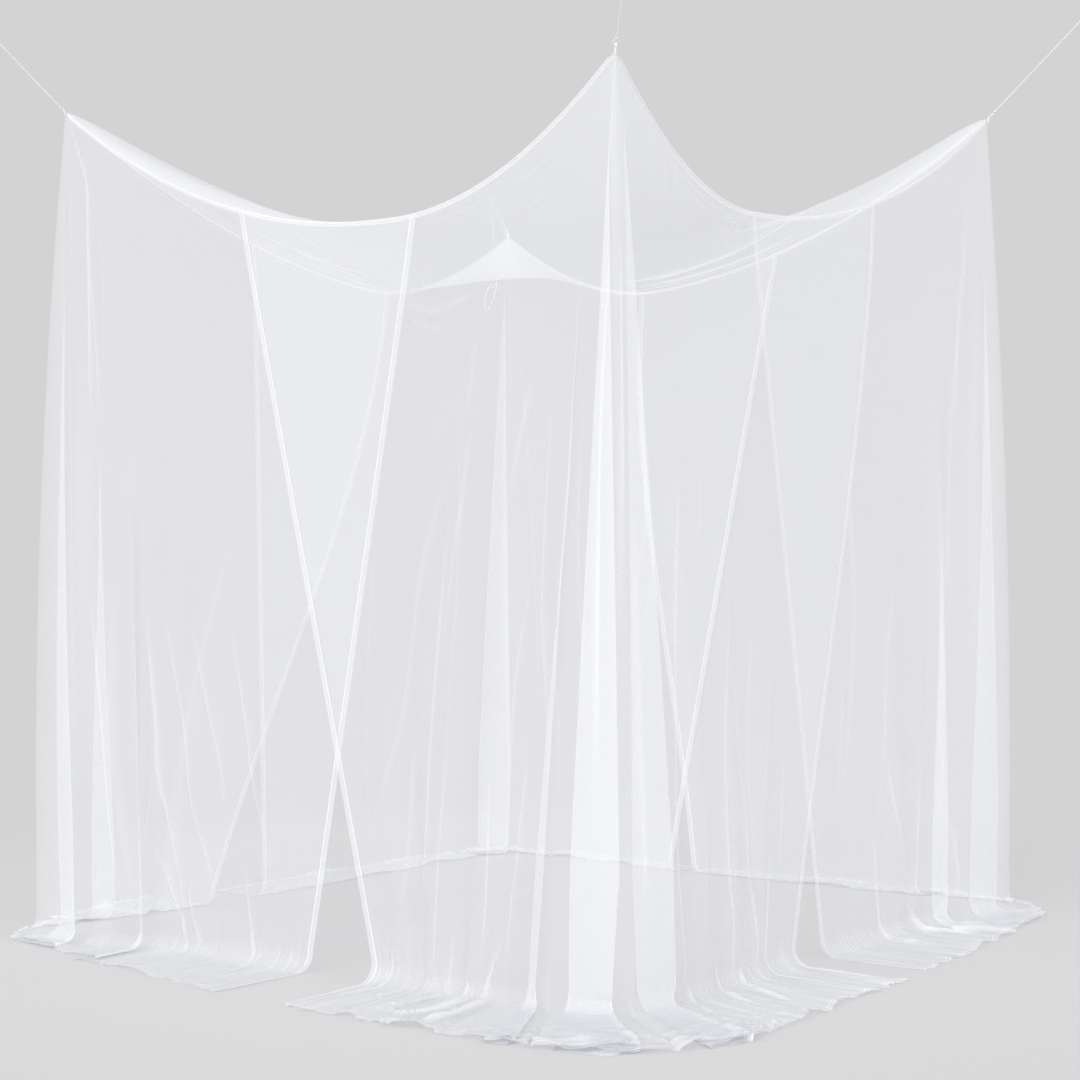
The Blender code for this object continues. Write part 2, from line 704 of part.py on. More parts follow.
def make_cord(corner_name, finish, group):
    """A corner's hanging cord, with its noose through the tape loop and its knots."""
    start, ahead = pull_of(corner_name)
    _, _, across = corner_frame(corner_name)
    side = (across - ahead * across.dot(ahead)).normalized()
    noose = circle(start + ahead * NOOSE_RADIUS, ahead, side, NOOSE_RADIUS, 12)
    cord_object(f"cord_noose_{corner_name}", noose, finish, group, ring=True)
    begin = start + ahead * (2 * NOOSE_RADIUS + CORD / 2 + CORD_FREE)
    knot = begin + ahead * (KNOT_ROUND + CORD_FREE)
    make_knot(f"cord_knot_{corner_name}", knot, ahead, finish, group)
    end = reach_point(corner_name, CORD_ENDS[corner_name])
    name = f"hang_cord_{corner_name}"
    if corner_name == "back":
        strand = [reach_point(corner_name, reach) for reach in BACK_STRAND]
        turn = hook_turn(ahead, end)
        route = [begin] + flowing([begin.lerp(turn[0], 0.9)] + turn + strand, 2)
        cord_object(name, route, finish, group)
        slide = begin.lerp(turn[0], SLIDING_KNOT)
        make_knot("sliding_knot", slide, ahead, finish, group)
        lower = reach_point(corner_name, LOWER_KNOT)
        make_knot("lower_knot", lower, Vector((0, 0, 1)), finish, group)
        return
    cord_object(name, [begin, end], finish, group)
    tie = end - ahead * (KNOT_ROUND + CORD_FREE)
    make_knot(f"hook_knot_{corner_name}", tie, ahead, finish, group)
    eye = end + ahead * (HOOK_EYE_RADIUS + CORD / 2 + CORD_FREE)
    points = circle(eye, ahead, side, HOOK_EYE_RADIUS, 12)
    cord_object(f"hook_eye_{corner_name}", points, finish, group, ring=True)


def main():
    clear_scene()
    group = bpy.data.collections.new("mosquito_net_canopy")
    bpy.context.scene.collection.children.link(group)
    net = material("polyester_net", (0.86, 0.87, 0.89), 0.7)
    tape = material("woven_tape", (0.93, 0.93, 0.94), 0.6)
    cord = material("cotton_cord", (0.80, 0.80, 0.79), 0.8)
    make_roof(net, group)
    for corner_name in PANELS:
        make_panel(corner_name, net, group)
    for side_name in SIDES:
        make_tape(side_name, tape, group)
    for corner_name in CORNERS:
        make_loop(corner_name, tape, group)
        make_cord(corner_name, cord, group)


main()
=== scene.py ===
import math
from collections import namedtuple

import bpy
import numpy as np
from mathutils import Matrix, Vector


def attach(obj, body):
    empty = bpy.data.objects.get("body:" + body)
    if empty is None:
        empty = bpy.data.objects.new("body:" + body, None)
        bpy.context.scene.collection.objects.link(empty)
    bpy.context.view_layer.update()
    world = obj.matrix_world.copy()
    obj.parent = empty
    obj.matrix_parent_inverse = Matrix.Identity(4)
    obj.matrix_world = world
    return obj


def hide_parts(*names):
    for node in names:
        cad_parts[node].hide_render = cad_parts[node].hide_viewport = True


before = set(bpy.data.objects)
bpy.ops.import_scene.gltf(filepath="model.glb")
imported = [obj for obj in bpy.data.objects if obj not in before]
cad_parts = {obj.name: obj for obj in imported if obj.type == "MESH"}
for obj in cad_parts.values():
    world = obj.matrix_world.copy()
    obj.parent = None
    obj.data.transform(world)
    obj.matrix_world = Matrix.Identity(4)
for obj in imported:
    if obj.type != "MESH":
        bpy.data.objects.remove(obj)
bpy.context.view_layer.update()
bpy.ops.object.select_all(action="DESELECT")
print("frame loaded:", len(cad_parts), "nodes")

# The camera stands at the photograph's place, with the near corner almost straight ahead.
photoCamera = {
    "place": (3.7662, -4.9404, 1.063),
    "turn": 37.15,  # degrees to the left of +Y
    "tilt": 0.14,  # degrees up
    "lens": 73.9,  # mm, on a square frame
    "frameWide": 36,  # mm
}


def makeCamera(values):
    bpy.ops.object.camera_add(location=values["place"])
    camera = bpy.context.object
    camera.name = "photoCamera"
    camera.rotation_euler = (math.radians(90 + values["tilt"]), 0, math.radians(values["turn"]))
    camera.data.lens = values["lens"]
    camera.data.sensor_fit = "HORIZONTAL"
    camera.data.sensor_width = values["frameWide"]
    bpy.context.scene.camera = camera


makeCamera(photoCamera)


# Colours are given as sRGB hex values.
def linear(hexColour):
    channels = [int(hexColour[at : at + 2], 16) / 255 for at in (1, 3, 5)]
    turned = [c / 12.92 if c <= 0.04045 else ((c + 0.055) / 1.055) ** 2.4 for c in channels]
    return (*turned, 1)


def link(material, source, output, target, name):
    material.node_tree.links.new(source.outputs[output], target.inputs[name])


def addNode(material, kind, settings, links=()):
    added = material.node_tree.nodes.new("ShaderNode" + kind)
    for name, value in settings.items():
        if isinstance(name, str) and hasattr(added, name):
            setattr(added, name, value)
        else:
            added.inputs[name].default_value = value
    for name, source, output in links:
        link(material, source, output, added, name)
    return added


def newMaterial(name, colour, look):
    made = bpy.data.materials.new(name)
    made.use_nodes = True
    made.node_tree.nodes.clear()
    finish = {"Base Color": linear(colour), "Roughness": look["roughness"], "IOR": look["ior"]}
    shader = addNode(made, "BsdfPrincipled", finish)
    addNode(made, "OutputMaterial", {}, [("Surface", shader, "BSDF")])
    return made, shader


# Scale that makes a wave texture repeat at this pitch.
def waveScale(pitch):
    return 2 * math.pi / 20 / pitch


# Warp-knitted polyester mosquito netting, heat set: a soft even veil with no gloss, whiter
# where it is creased or turned in for the hem, with a bright line of stitches along the hem.
nettingLook = {
    "yarn": "#F5F6FA",
    "roughness": 0.8,
    "ior": 1.5,
    "cover": 0.145,  # share of the light that one layer of it stops
    "thin": 0.93,  # cover in the middle of a hole, as a share of the plain cover
    "thick": 1.05,  # cover on the yarns
    "meshPitch": 0.007,  # the real pitch is 1.6 mm; drawn four times as coarse, to show at all
    "courseTurn": 32,  # degrees each way, for the slanting courses of a hexagonal mesh
    "reliefDepth": 0.0006,
    "reliefStrength": 0.08,
    "patchScale": 3.5,
    "patchUneven": 0.14,  # share by which the cover comes and goes in soft patches
    "hemWide": 0.019,
    "hemSoft": 0.002,
    "hemCover": 0.33,
    "stitchCover": 0.8,
    "stitchIn": 0.0165,  # from the edge to the stitches
    "stitchWide": 0.0024,
}


def makeNetting(values):
    made, shader = newMaterial("knittedPolyesterNet", values["yarn"], values)
    cloth = addNode(made, "UVMap", {"uv_map": "cloth"})
    courses = []
    for turn in (values["courseTurn"], -values["courseTurn"]):
        slant = {"Rotation": (0, 0, math.radians(turn))}
        turned = addNode(made, "Mapping", slant, [("Vector", cloth, "UV")])
        bands = {"bands_direction": "X", "Scale": waveScale(values["meshPitch"])}
        courses.append(addNode(made, "TexWave", bands, [("Vector", turned, "Vector")]))
    either = [(at, course, "Fac") for at, course in enumerate(courses)]
    yarns = addNode(made, "Math", {"operation": "MAXIMUM"}, either)
    least, most = values["cover"] * values["thin"], values["cover"] * values["thick"]
    limits = {"To Min": least, "To Max": most}
    knitted = addNode(made, "MapRange", limits, [("Value", yarns, "Value")])
    noise = {"Scale": values["patchScale"], "Detail": 3}
    patches = addNode(made, "TexNoise", noise, [("Vector", cloth, "UV")])
    limits = {"To Min": 1 - values["patchUneven"], "To Max": 1 + values["patchUneven"]}
    uneven = addNode(made, "MapRange", limits, [("Value", patches, "Fac")])
    both = [(0, knitted, "Result"), (1, uneven, "Result")]
    plain = addNode(made, "Math", {"operation": "MULTIPLY"}, both)
    crease = addNode(made, "Attribute", {"attribute_name": "crease"})
    both = [(0, plain, "Value"), (1, crease, "Fac")]
    creased = addNode(made, "Math", {"operation": "ADD"}, both)
    fromEdge = addNode(made, "Attribute", {"attribute_name": "fromEdge"})
    turnedIn = {
        "interpolation_type": "SMOOTHSTEP",
        "From Min": values["hemWide"] + values["hemSoft"],
        "From Max": values["hemWide"] - values["hemSoft"],
        "To Min": 0,
        "To Max": values["hemCover"],
    }
    hem = addNode(made, "MapRange", turnedIn, [("Value", fromEdge, "Fac")])
    line = {"operation": "COMPARE", 1: values["stitchIn"], 2: values["stitchWide"] / 2}
    stitches = addNode(made, "Math", line, [(0, fromEdge, "Fac")])
    more = {"operation": "MULTIPLY_ADD", 1: values["stitchCover"] - values["hemCover"]}
    stitched = addNode(made, "Math", more, [(0, stitches, "Value"), (2, hem, "Result")])
    either = [(0, creased, "Value"), (1, stitched, "Value")]
    whole = addNode(made, "Math", {"operation": "MAXIMUM"}, either)
    bump = {"Strength": values["reliefStrength"], "Distance": values["reliefDepth"]}
    relief = addNode(made, "Bump", bump, [("Height", yarns, "Value")])
    link(made, whole, "Value", shader, "Alpha")
    link(made, relief, "Normal", shader, "Normal")
    return made


# Sheer polyester binding, sewn along its top: a thin bright line with a faint band below it.
bindingLook = {
    "yarn": "#FAFAFC",
    "roughness": 0.8,
    "ior": 1.5,
    "cover": 0.18,
    "seamCover": 0.6,
    "seamIn": 0.003,  # from the top of the binding to the seam
    "seamWide": 0.0028,
}


def makeBinding(values):
    made, shader = newMaterial("sheerPolyesterBinding", values["yarn"], values)
    cloth = addNode(made, "UVMap", {"uv_map": "cloth"})
    apart = addNode(made, "SeparateXYZ", {}, [("Vector", cloth, "UV")])
    line = {"operation": "COMPARE", 1: values["seamIn"], 2: values["seamWide"] / 2}
    seam = addNode(made, "Math", line, [(0, apart, "Y")])
    limits = {"To Min": values["cover"], "To Max": values["seamCover"]}
    whole = addNode(made, "MapRange", limits, [("Value", seam, "Value")])
    link(made, whole, "Result", shader, "Alpha")
    return made


# Woven cotton twill tape, bleached: matt white with a fine slanting rib, and painted shade that
# makes the rib's troughs a little grey.
tapeLook = {
    "cotton": "#FBFBFA",
    # painted shade in the troughs of the rib
    "grooveShade": "#EDEDEC",
    "roughness": 0.9,
    "ior": 1.5,
    "rib": 0.002,
    "ribTurn": "DIAGONAL",
    "reliefDepth": 0.0004,
    "reliefStrength": 0.4,
}

# Twisted cotton cord, three plies: matt white, with painted shade that makes the grooves between
# the plies slightly grey.
cordLook = {
    "cotton": "#F4F4F2",
    # painted shade in the grooves between the plies
    "grooveShade": "#C9C9C6",
    "roughness": 0.9,
    "ior": 1.5,
    "rib": 0.004,
    "ribTurn": "Z",
    "reliefDepth": 0.0004,
    "reliefStrength": 0.4,
}


def makeCotton(name, values):
    made, shader = newMaterial(name, values["cotton"], values)
    place = addNode(made, "TexCoord", {})
    bands = {"bands_direction": values["ribTurn"], "Scale": waveScale(values["rib"])}
    ribs = addNode(made, "TexWave", bands, [("Vector", place, "Object")])
    # painted shade: the ribs' troughs take the darker groove colour, the crests the cotton's own
    shades = {"data_type": "RGBA", 6: linear(values["grooveShade"]), 7: linear(values["cotton"])}
    colour = addNode(made, "Mix", shades, [(0, ribs, "Fac")])
    bump = {"Strength": values["reliefStrength"], "Distance": values["reliefDepth"]}
    relief = addNode(made, "Bump", bump, [("Height", ribs, "Fac")])
    link(made, colour, 2, shader, "Base Color")
    link(made, relief, "Normal", shader, "Normal")
    return made


netting = makeNetting(nettingLook)
binding = makeBinding(bindingLook)
cottonTape = makeCotton("wovenCottonTape", tapeLook)
cottonCord = makeCotton("twistedCottonCord", cordLook)
print("materials made")

# A hung corner's place, the roof's low level near it, and how far its pull lifts the roof
# along the diagonal.
hungCorner = namedtuple("hungCorner", "x y z low ridge")
hungCorners = {
    "near": hungCorner(0.905, -0.885, 2.173, 1.858, 0.02),
    "left": hungCorner(-0.94, -0.885, 2.251, 1.845, 0.008),
    "right": hungCorner(0.88, 1.045, 2.316, 1.93, 0.008),
    "back": hungCorner(-0.925, 1.07, 2.125, 1.872, 0.045),
}

# Each roof edge runs from start to end. A reach is how far a corner lifts the seam, and roll
# is how far the roof stands above the seam just inside it.
roofEdge = namedtuple("roofEdge", "start end startReach endReach roll rollAt")
roofEdges = {
    "front_left": roofEdge("near", "left", 0.66, 1.15, 0.03, 0.74),
    "front_right": roofEdge("near", "right", 0.6, 1.28, 0.03, 0.78),
    "rear_left": roofEdge("back", "left", 0.76, 1.53, 0.014, 0.5),
    "rear_right": roofEdge("back", "right", 0.62, 1.28, 0.014, 0.5),
}

hangingShape = {
    "net": 0.0015,  # thickness of the netting as a sheet
    "air": 0.0003,  # between neighbouring pieces
    "sag": 0.035,  # middle of the roof below its low sides
    "ridgeReach": 0.8,
    "ridgeStart": 0.04,
    "ridgeWide": 0.45,
    "conePower": 2.6,
    "rollWide": 0.05,
    "rollLong": 0.22,  # share of its side's length
    "roofSide": 1.9,  # about the length of a side
    "bend": 0.05,  # radius with which the walls turn out along the floor
    "aboveFloor": 0.0006,
    "layDepth": 0.22,  # share of a fold's depth left where it lies on the floor
    "ply": 0.009,  # two walls hang this far apart where they overlap
    "plyDrop": 0.16,
    "plyFrom": 0.35,  # from the corner to where they begin to overlap
    "plyOver": 0.3,  # the run over which they come apart
    "foldGrowth": 1.15,  # a fold whose layers overlap is full before it reaches the floor
    "cornerRound": 0.001,
    "tapeTall": 0.014,
}


def smooth(share):
    share = min(max(share, 0.0), 1.0)
    return share * share * (3 - 2 * share)


def cornerPlace(name):
    corner = hungCorners[name]
    return Vector((corner.x, corner.y, 0))


def edgeLength(name):
    edge = roofEdges[name]
    return (cornerPlace(edge.end) - cornerPlace(edge.start)).length


# How far a hung corner lifts the roof at a point this far away along its two sides.
def cornerLift(corner, firstAway, firstReach, secondAway, secondReach):
    power = hangingShape["conePower"]
    away = (firstAway / firstReach) ** power + (secondAway / secondReach) ** power
    share = max(1 - away ** (1 / power), 0)
    both = (firstAway + secondAway) / hangingShape["ridgeReach"]
    beside = (firstAway - secondAway) / (firstAway + secondAway + hangingShape["air"])
    beside = math.exp(-((beside / hangingShape["ridgeWide"]) ** 2))
    ridge = both * math.exp((1 - both * both) / 2) * beside
    closest = min(firstAway, secondAway)
    flat = closest / (closest + hangingShape["ridgeStart"])
    return (corner.z - corner.low) * share * share + corner.ridge * ridge * flat


# Each corner's place in the roof, as shares of its sides, and the edges that leave it.
roofCorners = {
    "near": (0, 0, "front_left", "front_right"),
    "left": (1, 0, "front_left", "rear_left"),
    "right": (0, 1, "rear_right", "front_right"),
    "back": (1, 1, "rear_right", "rear_left"),
}


# How far each corner is from a place on the roof, in shares of its sides, and its weight there.
def cornerShares(across, along):
    for name, (x, y, *_) in roofCorners.items():
        away = abs(across - x), abs(along - y)
        yield name, away, (1 - away[0]) * (1 - away[1])


# Height of the roof at shares of its two sides, counted from the near corner.
def roofHeight(across, along):
    height = -hangingShape["sag"] * 16 * across * (1 - across) * along * (1 - along)
    for name, away, share in cornerShares(across, along):
        sides = []
        for part, edgeName in zip(away, roofCorners[name][2:]):
            edge = roofEdges[edgeName]
            farthest = edge.startReach if edge.start == name else edge.endReach
            sides += [part * edgeLength(edgeName), farthest]
        corner = hungCorners[name]
        height += corner.low * share + cornerLift(corner, *sides)
    return height


# Height of a seam at a distance along its edge from the edge's start.
def seamHeight(edgeName, run):
    share = run / edgeLength(edgeName)
    places = {
        "front_left": (share, 0),
        "front_right": (0, share),
        "rear_left": (1, 1 - share),
        "rear_right": (1 - share, 1),
    }
    return roofHeight(*places[edgeName])


# Where each hanging cord goes from its corner: out along the roof's diagonal, across it, up.
cordEnds = {
    "near": (0.105, 0, 0.105),
    "left": (0.21, 0, 0.218),
    "right": (0.325, 0, 0.336),
    "back": (0.152, 0.045, 0.153),
}
# The back cord hangs down again from its hook, through a knot and round an open loop.
backStrand = (
    (0.159, 0.044, 0.1), (0.159, 0.039, 0.03), (0.158, 0.034, -0.05), (0.157, 0.029, -0.11),
    (0.157, 0.027, -0.146), (0.157, 0.034, -0.178), (0.158, 0.044, -0.208), (0.158, 0.053, -0.23),
    (0.158, 0.061, -0.238), (0.158, 0.069, -0.23), (0.157, 0.07, -0.205), (0.156, 0.062, -0.172),
    (0.156, 0.048, -0.149), (0.156, 0.036, -0.143),
)
hangingCord = {
    "thick": 0.003,
    "free": 0.0004,
    "pointPitch": 0.009,
    "fewestPoints": 15,
    "nooseRadius": 0.007,
    "nooseSteps": 28,
    "hookEyeRadius": 0.01,
    "hookEyeSteps": 32,
    "hookTurn": 0.0065,
    "hookSteps": 5,
    "slidingKnot": 0.55,  # share of the way from the back corner to its hook
    "lowerKnot": 4,  # its place in the hanging strand
    "knotRadius": 0.0035,
    "knotHalf": 0.0019,
    "knotFrom": 0.002,  # from a cord's end to the middle of its knot
    "knotSteps": 30,
    "turnSteps": 12,  # of them in one turn
    "knotEnds": 0.93,  # its first and last steps are drawn in to this share
    "wrapRadius": 0.00145,
    "tail": 0.016,  # length of a knot's free ends
    "tailFrom": 0.003,
    "tailDroop": 0.3,
    "loopThick": 0.0012,
    "loopNeck": 0.0035,
    "loopEye": 0.0125,
    "loopOpen": 0.005,
    "eyeBack": 0.0016,
}


# A hung corner's place, the way out along the roof's diagonal, and the way across it.
def cornerFrame(name):
    corner = hungCorners[name]
    middle = sum((cornerPlace(other) for other in hungCorners), Vector()) / len(hungCorners)
    out = (cornerPlace(name) - middle).normalized()
    return Vector((corner.x, corner.y, corner.z)), out, Vector((-out.y, out.x, 0))


def reachPoint(name, far):
    place, out, across = cornerFrame(name)
    return place + out * far[0] + across * far[1] + Vector((0, 0, far[2]))


# How far out of its corner a loop's two sewn ends meet, the inner one against the wall.
def loopMiddle(name):
    net, air = hangingShape["net"], hangingShape["air"]
    layer = -1 if name in ("left", "back") else 1
    wallFace = layer * (net + air) / 2 - hangingShape["cornerRound"] * math.sqrt(0.5) + net / 2
    return wallFace + air + hangingCord["loopThick"] + hangingCord["free"] / 2


# Where the cord's line starts in the eye of its loop, and its direction.
def pullOf(name):
    place, out, _ = cornerFrame(name)
    neck = place + out * loopMiddle(name) + Vector((0, 0, hangingCord["loopThick"]))
    ahead = (out + Vector((0, 0, 1))).normalized()
    start = neck + ahead * (hangingCord["loopEye"] - hangingCord["eyeBack"])
    return start, (reachPoint(name, cordEnds[name]) - start).normalized()


# Points along a smooth curve through these points.
def flowing(points, steps):
    found = [points[0]]
    for index in range(len(points) - 1):
        before, start = points[max(index - 1, 0)], points[index]
        end, after = points[index + 1], points[min(index + 2, len(points) - 1)]
        for step in range(1, steps + 1):
            share = step / steps
            found.append(
                (2 * start + (end - before) * share
                 + (2 * before - 5 * start + 4 * end - after) * share**2
                 + (3 * start - before - 3 * end + after) * share**3) / 2
            )
    return found


def makeTube(node, lines, radius, closed=False):
    name = f"cotton_{node}"
    curve = bpy.data.curves.new(name, "CURVE")
    curve.dimensions = "3D"
    for points in lines:
        spline = curve.splines.new("POLY")
        spline.points.add(len(points) - 1)
        for at, point in zip(spline.points, points):
            at.co = (*point, 1)
        spline.use_cyclic_u = closed
        spline.use_smooth = True
    curve.bevel_depth = radius
    curve.bevel_resolution = 2
    curve.use_fill_caps = not closed
    curve.materials.append(cottonCord)
    tube = bpy.data.objects.new(name, curve)
    bpy.context.scene.collection.objects.link(tube)
    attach(tube, "root")
    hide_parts(node)
    return tube


# A ring of cord, its points from the side away from the first direction.
def makeRing(node, centre, one, other, radius, steps):
    turns = [2 * math.pi * step / steps for step in range(steps)]
    line = [centre + (other * math.sin(turn) - one * math.cos(turn)) * radius for turn in turns]
    return makeTube(node, [line], hangingCord["thick"] / 2, closed=True)


# Two and a half turns of cord drawn tight round another, with free ends where it has them.
def makeKnot(node, place, ahead, tails=()):
    values = hangingCord
    side = ahead.orthogonal().normalized()
    other = ahead.cross(side)
    steps = values["knotSteps"]
    wraps = []
    for step in range(steps + 1):
        turn = 2 * math.pi * step / values["turnSteps"]
        wide = values["knotRadius"] * (1 if 2 < step < steps - 2 else values["knotEnds"])
        along = values["knotHalf"] * (2 * step / steps - 1)
        wraps.append(
            place + ahead * along + (side * math.cos(turn) + other * math.sin(turn)) * wide
        )
    lines = [wraps]
    droop = Vector((0, 0, -values["tailDroop"]))
    for tail in tails:
        end = tail.normalized()
        root = place + end * values["tailFrom"]
        shares = [step / 5 for step in range(6)]
        lines.append([root + (end + droop * share) * values["tail"] * share for share in shares])
    return makeTube(node, lines, values["wrapRadius"])


# The back cord's turn over its hook: it comes up along ahead and leaves straight down.
def hookTurn(ahead, top):
    radius, steps = hangingCord["hookTurn"], hangingCord["hookSteps"]
    flat = Vector((ahead.x, ahead.y, 0)).normalized()
    middle = top - Vector((0, 0, radius))
    whole = math.pi / 2 + math.asin(ahead.z)
    turns = [whole - whole * step / steps for step in range(steps + 1)]
    return [middle + (flat * math.cos(t) + Vector((0, 0, math.sin(t)))) * radius for t in turns]


def pathLength(points):
    return sum((after - before).length for before, after in zip(points, points[1:]))


def makeHangingCord(cornerName):
    values = hangingCord
    half, free = values["thick"] / 2, values["free"]
    start, ahead = pullOf(cornerName)
    across = cornerFrame(cornerName)[2]
    side = (across - ahead * across.dot(ahead)).normalized()
    wide, steps = values["nooseRadius"], values["nooseSteps"]
    noose = makeRing(f"cord_noose_{cornerName}", start + ahead * wide, ahead, side, wide, steps)
    begin = start + ahead * (2 * wide + half + free)
    knot = makeKnot(f"cord_knot_{cornerName}", begin + ahead * values["knotFrom"], ahead)
    end = reachPoint(cornerName, cordEnds[cornerName])
    if cornerName == "back":
        strand = [reachPoint(cornerName, far) for far in backStrand]
        turn = hookTurn(ahead, end)
        # straight up to near the hook, then smoothly over it and down
        before = [begin.lerp(turn[0], step / 6) for step in range(6)]
        route = before + flowing([begin.lerp(turn[0], 0.9)] + turn + strand, 3)
        slide = begin.lerp(turn[0], values["slidingKnot"])
        makeKnot("sliding_knot", slide, ahead, (side - ahead * 0.4, -side))
        lower, drop = strand[values["lowerKnot"]], Vector((0, 0, 1))
        makeKnot("lower_knot", lower, drop, (side - drop * 0.5, -side - drop * 0.6))
    else:
        count = max(values["fewestPoints"], round((end - begin).length / values["pointPitch"]))
        route = [begin.lerp(end, step / count) for step in range(count + 1)]
        tie = end - ahead * (values["knotFrom"] + free)
        makeKnot(f"hook_knot_{cornerName}", tie, ahead)
        wide, steps = values["hookEyeRadius"], values["hookEyeSteps"]
        middle = end + ahead * (wide + half + free)
        makeRing(f"hook_eye_{cornerName}", middle, ahead, side, wide, steps)
    cord = makeTube(f"hang_cord_{cornerName}", [route], half)
    print("cord", cornerName, round(pathLength(route), 3), "m,", len(route), "points")


for cornerName in hungCorners:
    makeHangingCord(cornerName)


# One sheet with a vertex at each point of a grid of points, rows x columns x 3. Netting and
# binding are single layers and stay open, and only the corner loops' tape gets its thickness.
def makeCloth(node, name, points, finish, uv=None, values=None, thick=0):
    rows, columns = points.shape[:2]
    at = np.arange(rows * columns).reshape(rows, columns)
    faces = np.stack([at[:-1, :-1], at[1:, :-1], at[1:, 1:], at[:-1, 1:]], axis=-1).reshape(-1, 4)
    mesh = bpy.data.meshes.new(name)
    mesh.from_pydata(points.reshape(-1, 3).tolist(), [], faces.tolist())
    for key, grid in (values or {}).items():
        attribute = mesh.attributes.new(key, "FLOAT", "POINT")
        attribute.data.foreach_set("value", grid.reshape(-1).astype(np.float32))
    uv = uv or (clothRun(points, 1), clothRun(points, 0))
    flat = np.stack(uv, axis=-1).reshape(-1, 2)
    layer = mesh.uv_layers.new(name="cloth")
    layer.data.foreach_set("uv", flat[faces.reshape(-1)].reshape(-1))
    mesh.shade_smooth()
    mesh.materials.append(finish)
    cloth = bpy.data.objects.new(name, mesh)
    bpy.context.scene.collection.objects.link(cloth)
    if thick:
        shell = cloth.modifiers.new("thickness", "SOLIDIFY")
        shell.thickness = thick
        shell.offset = 0
        bpy.ops.object.select_all(action="DESELECT")
        bpy.context.view_layer.objects.active = cloth
        bpy.ops.object.modifier_apply(modifier=shell.name)
    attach(cloth, "root")
    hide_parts(node)
    return cloth


# The way out of the sheet at each point of a grid.
def outOfCloth(points):
    out = np.cross(np.gradient(points, axis=0), np.gradient(points, axis=1))
    return out / np.maximum(np.linalg.norm(out, axis=2, keepdims=True), 1e-12)


# Distance run over the cloth, down each column or along each row, from its first point.
def clothRun(points, axis):
    steps = np.linalg.norm(np.diff(points, axis=axis), axis=2)
    start = np.zeros_like(np.take(steps, [0], axis=axis))
    return np.concatenate([start, np.cumsum(steps, axis=axis)], axis=axis)


clothRelief = {
    "creaseSteps": 5,  # in the smooth line from each of its places to the next
    "creaseStart": 0.22,  # shares of its length over which a crease thins out
    "creaseEnd": 0.3,
    "creaseLine": 0.8,  # width of its whiter line, as a share of its own
    "rippleSwings": ((2.1, 5.3, 1), (0.8, 2.3, 2)),  # size, length in ripples, shift
    "rippleSlant": (0.9, 7, 5),  # size, rate down the cloth and across it
    "rippleFade": (0.4, 8.7, 17),  # size, length in ripples, rate down the cloth
    "rippleSharp": 3,
    "crumpleSwing": (1.3, 2.1),  # size, rate over a ridge's length
    "crumpleSharp": 1.5,
}


# How high all creases stand at each place, and how much more of the light they stop. Each runs
# through places on the cloth, each across and down in cm, and has half its width and its height
# in mm, and its cover.
def creaseRelief(creases, across, down):
    shape = clothRelief
    height, cover = np.zeros_like(across), np.zeros_like(across)
    for places, half, high, white in creases:
        half, high = half / 1000, high / 1000
        line = flowing([Vector((x / 100, y / 100)) for x, y in places], shape["creaseSteps"])
        line = np.array(line)
        runs = np.linalg.norm(np.diff(line, axis=0), axis=1)
        start, whole = 0.0, runs.sum()
        closest = np.full_like(across, 1e9)
        share = np.zeros_like(across)
        for place, after, run in zip(line, line[1:], runs):
            ahead = (after - place) / run
            part = (across - place[0]) * ahead[0] + (down - place[1]) * ahead[1]
            part = np.clip(part, 0, run)
            away = np.hypot(across - place[0] - ahead[0] * part, down - place[1] - ahead[1] * part)
            nearer = away < closest
            closest = np.where(nearer, away, closest)
            share = np.where(nearer, (start + part) / whole, share)
            start += run
        taper = np.clip(share / shape["creaseStart"], 0, 1)
        taper = taper * np.clip((1 - share) / shape["creaseEnd"], 0, 1)
        height += high * taper * np.exp(-((closest / half) ** 2))
        cover += white * taper * np.exp(-((closest / (shape["creaseLine"] * half)) ** 2))
    return height, cover


# Uneven parallel ripples across the cloth, each a length, share and drift: sharp crests with
# flatter cloth between them, which wander on their way down and fade here and there.
def ripples(across, down, waves):
    total = np.zeros_like(across)
    slant, fading = clothRelief["rippleSlant"], clothRelief["rippleFade"]
    for long, share, drift in waves:
        turn = 2 * math.pi * across
        phase = turn / long
        for swing, wide, shift in clothRelief["rippleSwings"]:
            phase = phase + swing * np.sin(turn / (long * wide) + shift * drift)
        phase = phase + slant[0] * np.sin(down * slant[1] + across * slant[2] + drift)
        fade = np.sin(turn / (long * fading[1]) + 3 * drift + down * fading[2])
        fade = 1 - fading[0] + fading[0] * fade
        crest = (1 + np.sin(phase + drift)) / 2
        total += share * fade * crest ** clothRelief["rippleSharp"]
    return total


# Soft ridges that cross each other at all angles, as where cloth has been bunched up by hand,
# each a turn, length, share and drift.
def crumples(across, down, folds):
    total = np.zeros_like(across)
    swing, rate = clothRelief["crumpleSwing"]
    for turn, long, share, drift in folds:
        run = across * math.cos(turn) + down * math.sin(turn)
        aside = down * math.cos(turn) - across * math.sin(turn)
        phase = math.pi * run / long + swing * np.sin(aside * rate / long + drift) + drift
        total += share * (1 - np.abs(np.sin(phase))) ** clothRelief["crumpleSharp"]
    return total


# Each wall panel hangs round a corner on its first and second roof edge. Where it overlaps its
# neighbour it is the outer (1) or the inner (-1) ply. round is how widely it turns its corner at
# the floor, spread how far from there its hem fans out, bunched how far it is crumpled there,
# and sheer what its cover is changed by. ripple is its ripples' height on each side.
# Its columns, in cm, each have a place across the cloth, where that hangs along the seam, how
# far it swings past a straight line higher up, where it meets the floor, how far out it stands
# there, and the length that lies on the floor. Runs are measured from the corner, negative
# along the first side. Its folds, in cm, each have a place across the cloth, half their width,
# how far their layers overlap, their depth at the floor, and how far below the seam they start.
wallFold = namedtuple("wallFold", "cloth half overlap depth start")

